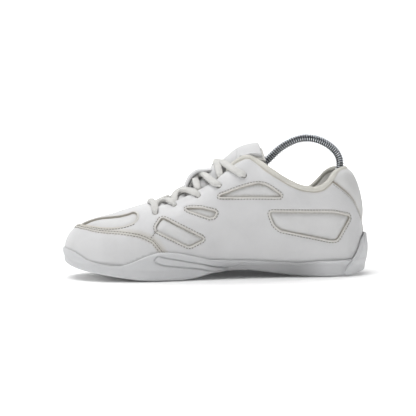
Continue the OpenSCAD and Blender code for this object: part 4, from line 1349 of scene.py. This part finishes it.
# Each crossing from row to row: (share of the way, v, height) where the lace comes up from under the
# throat's edge, where it crosses the ridge (share, height), and where it comes down on the other side.
# The lace that starts on the medial side passes over the other one.
LACE_UP = [[(0.05, 0.86, -2.0)], [(0.05, 0.86, -1.6)], [(0.05, 0.8, 0.2), (0.09, 0.88, 2.0)],
           [(0.06, 0.79, 0.4), (0.09, 0.87, 2.2)]]
LACE_OVER_RIDGE = [(0.3, -0.8), (0.25, 0.7), (0.2, 4.2), (0.14, 4.3)]
LACE_UNDER_RIDGE = [(0.72, -1.0), (0.5, 0), (0.4, 3.0), (0.24, 2.4)]
LACE_DOWN = [[(0.8, 0.856, 1.0), (0.91, 0.784, 1.5)],
             [(0.6, 0.905, 0.9), (0.72, 0.82, 1.3), (0.86, 0.745, 1.6)],
             [(0.5, 0.955, 2.9), (0.6, 0.82, 2.1), (0.73, 0.736, 1.75), (0.89, 0.672, 1.6)],
             [(0.29, 0.88, 2.4), (0.44, 0.78, 1.9), (0.62, 0.7, 1.7), (0.84, 0.634, 1.6)]]


def lace_crossing(k, side):
    ua, ub = EYELETS[k][0], EYELETS[k + 1][0]

    def place(share, v, height, to_side):
        return off(on_side(ua + (ub - ua) * share, to_side), v, height)

    share, height = (LACE_OVER_RIDGE if side < 0 else LACE_UNDER_RIDGE)[k]
    ridge = place(share, 1, height, side)
    ridge[1] = float(centre_y(ridge[0]))
    return ([place(0.03, float(top_v(ua)) + 0.012, -LACE_UNDER, side)]
            + [place(*p, side) for p in LACE_UP[k]] + [ridge]
            + [place(*p, -side) for p in LACE_DOWN[k]] + lace_entry(k + 1, -side))


def lace_climb(side):
    route = []
    for k in range(len(EYELETS) - 1):
        route += lace_crossing(k, side)
        side = -side
    return route


def lace_route():
    """From one end to the other: down the medial lace, over the bar across the lowest eyelets, and up."""
    u = EYELETS[0][0]
    bar = [off(u + 0.01, 0.72, LACE_OVER), off(u + 0.02, 0.84, LACE_OVER - 0.1), off(u, 1, 0.7),
           off(LOOP - u - 0.02, 0.84, LACE_OVER - 0.1), off(LOOP - u - 0.01, 0.72, LACE_OVER)]
    route = (lace_entry(0, -1) + lace_climb(-1))[::-1] + bar + lace_entry(0, 1) + lace_climb(1)
    return relaxed(even_route(smooth(route, 0.5), LACE_STEP), 10)


def lace_frames(route):
    """Width and outward directions along the lace, which lies flat on the shoe where it can."""
    t = unit(np.gradient(route, axis=0))
    x = route[:, 0]
    out = unit(route - np.column_stack([x, centre_y(x), np.interp(x, [-60, -16, 26], [34, 48, 72])]))
    wide = np.zeros_like(route)
    wide[0] = unit(np.cross(t[0], [1, 0, 0]))
    for i in range(1, len(route)):
        last = wide[i - 1] - t[i] * (wide[i - 1] @ t[i])
        target = np.cross(out[i], t[i])
        lean = np.linalg.norm(target)
        target = target / max(lean, 1e-6)
        if target @ last < 0:
            target = -target
        wide[i] = unit(last + 0.16 * max(lean - 0.35, 0) * target)
    return wide, np.cross(t, wide)


def squared(c, power):
    return np.sign(c) * np.abs(c) ** power


def make_lace():
    """A flat, woven cord that narrows where it goes through the eyelets."""
    route = lace_route()
    holes = np.array([off(on_side(u, side), v, 0) for u, v in EYELETS for side in (-1, 1)])
    near = np.linalg.norm(route[:, None] - holes[None], axis=2).min(1)
    free = np.clip((near - 0.8) / 3.0, 0, 1)
    wide = PINCHED_HALF_W + (LACE_HALF_W - PINCHED_HALF_W) * free
    thick = PINCHED_HALF_T + (LACE_HALF_T - PINCHED_HALF_T) * free
    i, j = np.meshgrid(np.arange(len(route)), np.arange(LACE_SIDES), indexing="ij")
    angle = 2 * math.pi * j / LACE_SIDES
    turn = i * LACE_STEP / 2.4 * math.pi
    strands = np.sin(2 * angle + turn) * np.sin(2 * angle - turn)
    weave = 1 + 0.055 * np.sign(strands) * np.sqrt(np.abs(strands))
    w, n = lace_frames(route)
    over_width = weave * wide[:, None] * squared(np.cos(angle), 0.85)
    over_depth = weave * thick[:, None] * squared(np.sin(angle), 0.85)
    points = route[:, None] + over_width[..., None] * w[:, None] + over_depth[..., None] * n[:, None]
    faces = grid_faces(len(route), LACE_SIDES, close_cols=True)
    piece = mesh_piece("lace_cord_cloth", points.reshape(-1, 3), faces, LACE)
    attach(piece)
    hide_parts("lace")


# ---------------------------------------------------------------- shoe tree
SPRING_PATH = [[-76, 32.5], [-66, 34], [-45, 38], [-20, 49], [4, 64], [25, 80], [44.7, 95.4], [54.4, 104.6],
               [62.9, 110.3], [72.2, 114], [80.8, 114.8], [88, 113.5], [93.5, 111.4], [98.7, 108.3],
               [103.2, 104.3], [106.4, 99.5], [107.8, 94.2], [107.7, 88.5], [107.4, 83], [106.9, 72],
               [107, 61], [107, 52]]
SPRING_R = 4.0
WIRE_R = 0.44
COIL_PITCH = 1.9
COIL_STEPS = 14


def make_spring():
    route = smooth([(x, float(centre_y(x)), z) for x, z in SPRING_PATH], 0.5)
    route = even_route(route, COIL_PITCH / COIL_STEPS)
    apex = int(np.argmax(route[:, 2]))
    a, b = sideways(route)
    angle = np.arange(len(route)) * 2 * math.pi / COIL_STEPS
    coil = route + (SPRING_R - WIRE_R) * (np.cos(angle)[:, None] * a + np.sin(angle)[:, None] * b)
    for name, part in (("front", slice(0, apex + 1)), ("rear", slice(apex, None))):
        wire = mesh_piece(f"spring_{name}", *tube(coil[part], WIRE_R, 6), SPRING)
        # The dark core is painted shade: it stands in for the shadow inside the coil.
        inner = tube(even_route(route[part], 1.2), SPRING_R - 1.25, 14)
        shade_core = mesh_piece(f"spring_shade_core_{name}", *inner, COIL_SHADE_CORE)
        for piece in (wire, shade_core):
            if name == "front":
                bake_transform(piece)
            else:
                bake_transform(piece)
        if name == "rear":
            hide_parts("tree_spring")


make_collar_roll()
make_linings()
make_insole()
make_sole_side()
make_outsoles()
make_heel_cup()
make_tongue()
make_tongue_loop()
make_lace()
make_spring()


# ---------------------------------------------------------------- CAD pieces that keep their shape
KEPT = {"toe_board": BOARD, "heel_board": BOARD, "toe_puff": STIFFENER, "heel_counter": STIFFENER,
        "tree_toe_form": TREE, "tree_toe_socket": SOCKET, "tree_knob": TREE, "tree_knob_socket": SOCKET}
for node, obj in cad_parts.items():
    obj.data.materials.clear()
    obj.data.materials.append(KEPT.get(node, WHITE))


# ---------------------------------------------------------------- floor and light
STAGE_HALF = 5
WALL_Y = 3
NEAR_SHOE = (0.122, 0.072, 1)  # the half axes of the ellipse under the shoe, in metres


def make_floor():
    """A pale floor that glows away from the shoe, and a wall behind it, so that they read as one white."""
    pale = {}
    for name, roughness in (("floor", 0.7), ("wall", 0.9)):
        pale[name] = bpy.data.materials.new(f"pale_{name}")
        pale[name].use_nodes = True
        bsdf = pale[name].node_tree.nodes["Principled BSDF"]
        bsdf.inputs["Roughness"].default_value = roughness
        bsdf.inputs["Base Color"].default_value = (0.85, 0.85, 0.85, 1)
        bsdf.inputs["Emission Color"].default_value = (1, 1, 1, 1)
        bsdf.inputs["Emission Strength"].default_value = 1
    tree = pale["floor"].node_tree
    bsdf = tree.nodes["Principled BSDF"]
    drift = ramp(tree, noise(tree, 1.5, 2), [(0.3, (0.88, 0.88, 0.88)), (0.7, (0.9, 0.9, 0.9))])
    tree.links.new(drift, bsdf.inputs["Base Color"])
    size = tree.nodes.new("ShaderNodeVectorMath")
    size.operation = "DIVIDE"
    size.inputs[1].default_value = NEAR_SHOE
    tree.links.new(place_of(tree), size.inputs[0])
    length = tree.nodes.new("ShaderNodeVectorMath")
    length.operation = "LENGTH"
    tree.links.new(size.outputs["Vector"], length.inputs[0])
    both = tree.nodes.new("ShaderNodeMath")
    # Painted light: the floor glows least in the ellipse under the shoe, where its shadow falls, and more
    # away from it.
    for k, ranges in enumerate((((0.75, 1.35), (0.03, 0.42)), ((2.5, 14), (0, 0.5)))):
        tree.links.new(mapped(tree, length.outputs["Value"], *ranges), both.inputs[k])
    tree.links.new(both.outputs["Value"], bsdf.inputs["Emission Strength"])
    a = STAGE_HALF
    for name, corners in (("floor", [(-a, -a, 0), (a, -a, 0), (a, a, 0), (-a, a, 0)]),
                          ("wall", [(-a, WALL_Y, -0.1), (a, WALL_Y, -0.1), (a, WALL_Y, a), (-a, WALL_Y, a)])):
        mesh = bpy.data.meshes.new(name)
        mesh.from_pydata(corners, [], [(0, 1, 2, 3)])
        mesh.materials.append(pale[name])
        stage = bpy.data.objects.new(name, mesh)
        stage.visible_diffuse = name == "floor"  # the wall is seen and mirrored, and lights nothing
        bpy.context.scene.collection.objects.link(stage)


LIT_PLACE = (0, 0, 0.05)


def make_light(name, place, size, power):
    data = bpy.data.lights.new(name, "AREA")
    data.shape = "DISK"
    data.size = size
    data.energy = power
    light = bpy.data.objects.new(name, data)
    bpy.context.scene.collection.objects.link(light)
    light.location = place
    light.rotation_euler = (Vector(place) - Vector(LIT_PLACE)).to_track_quat("Z", "Y").to_euler()


def make_world(strength):
    """Soft light from all round. Seen directly, it is as white as the wall."""
    world = bpy.data.worlds.new("studio")
    bpy.context.scene.world = world
    world.use_nodes = True
    tree = world.node_tree
    background = tree.nodes["Background"]
    background.inputs["Color"].default_value = (1, 1, 1, 1)
    rays = tree.nodes.new("ShaderNodeLightPath")
    shown = mapped(tree, rays.outputs["Is Camera Ray"], (0, 1), (strength, 1))
    tree.links.new(shown, background.inputs["Strength"])


make_floor()
bpy.context.scene.view_settings.view_transform = "Standard"
make_world(0.195)
make_light("key", (-0.5, -0.22, 1.6), 1.3, 22.5)
make_light("fill", (0.9, -1.3, 0.9), 1.2, 1)
make_light("back", (0.2, 0.9, 1.2), 1.0, 4)
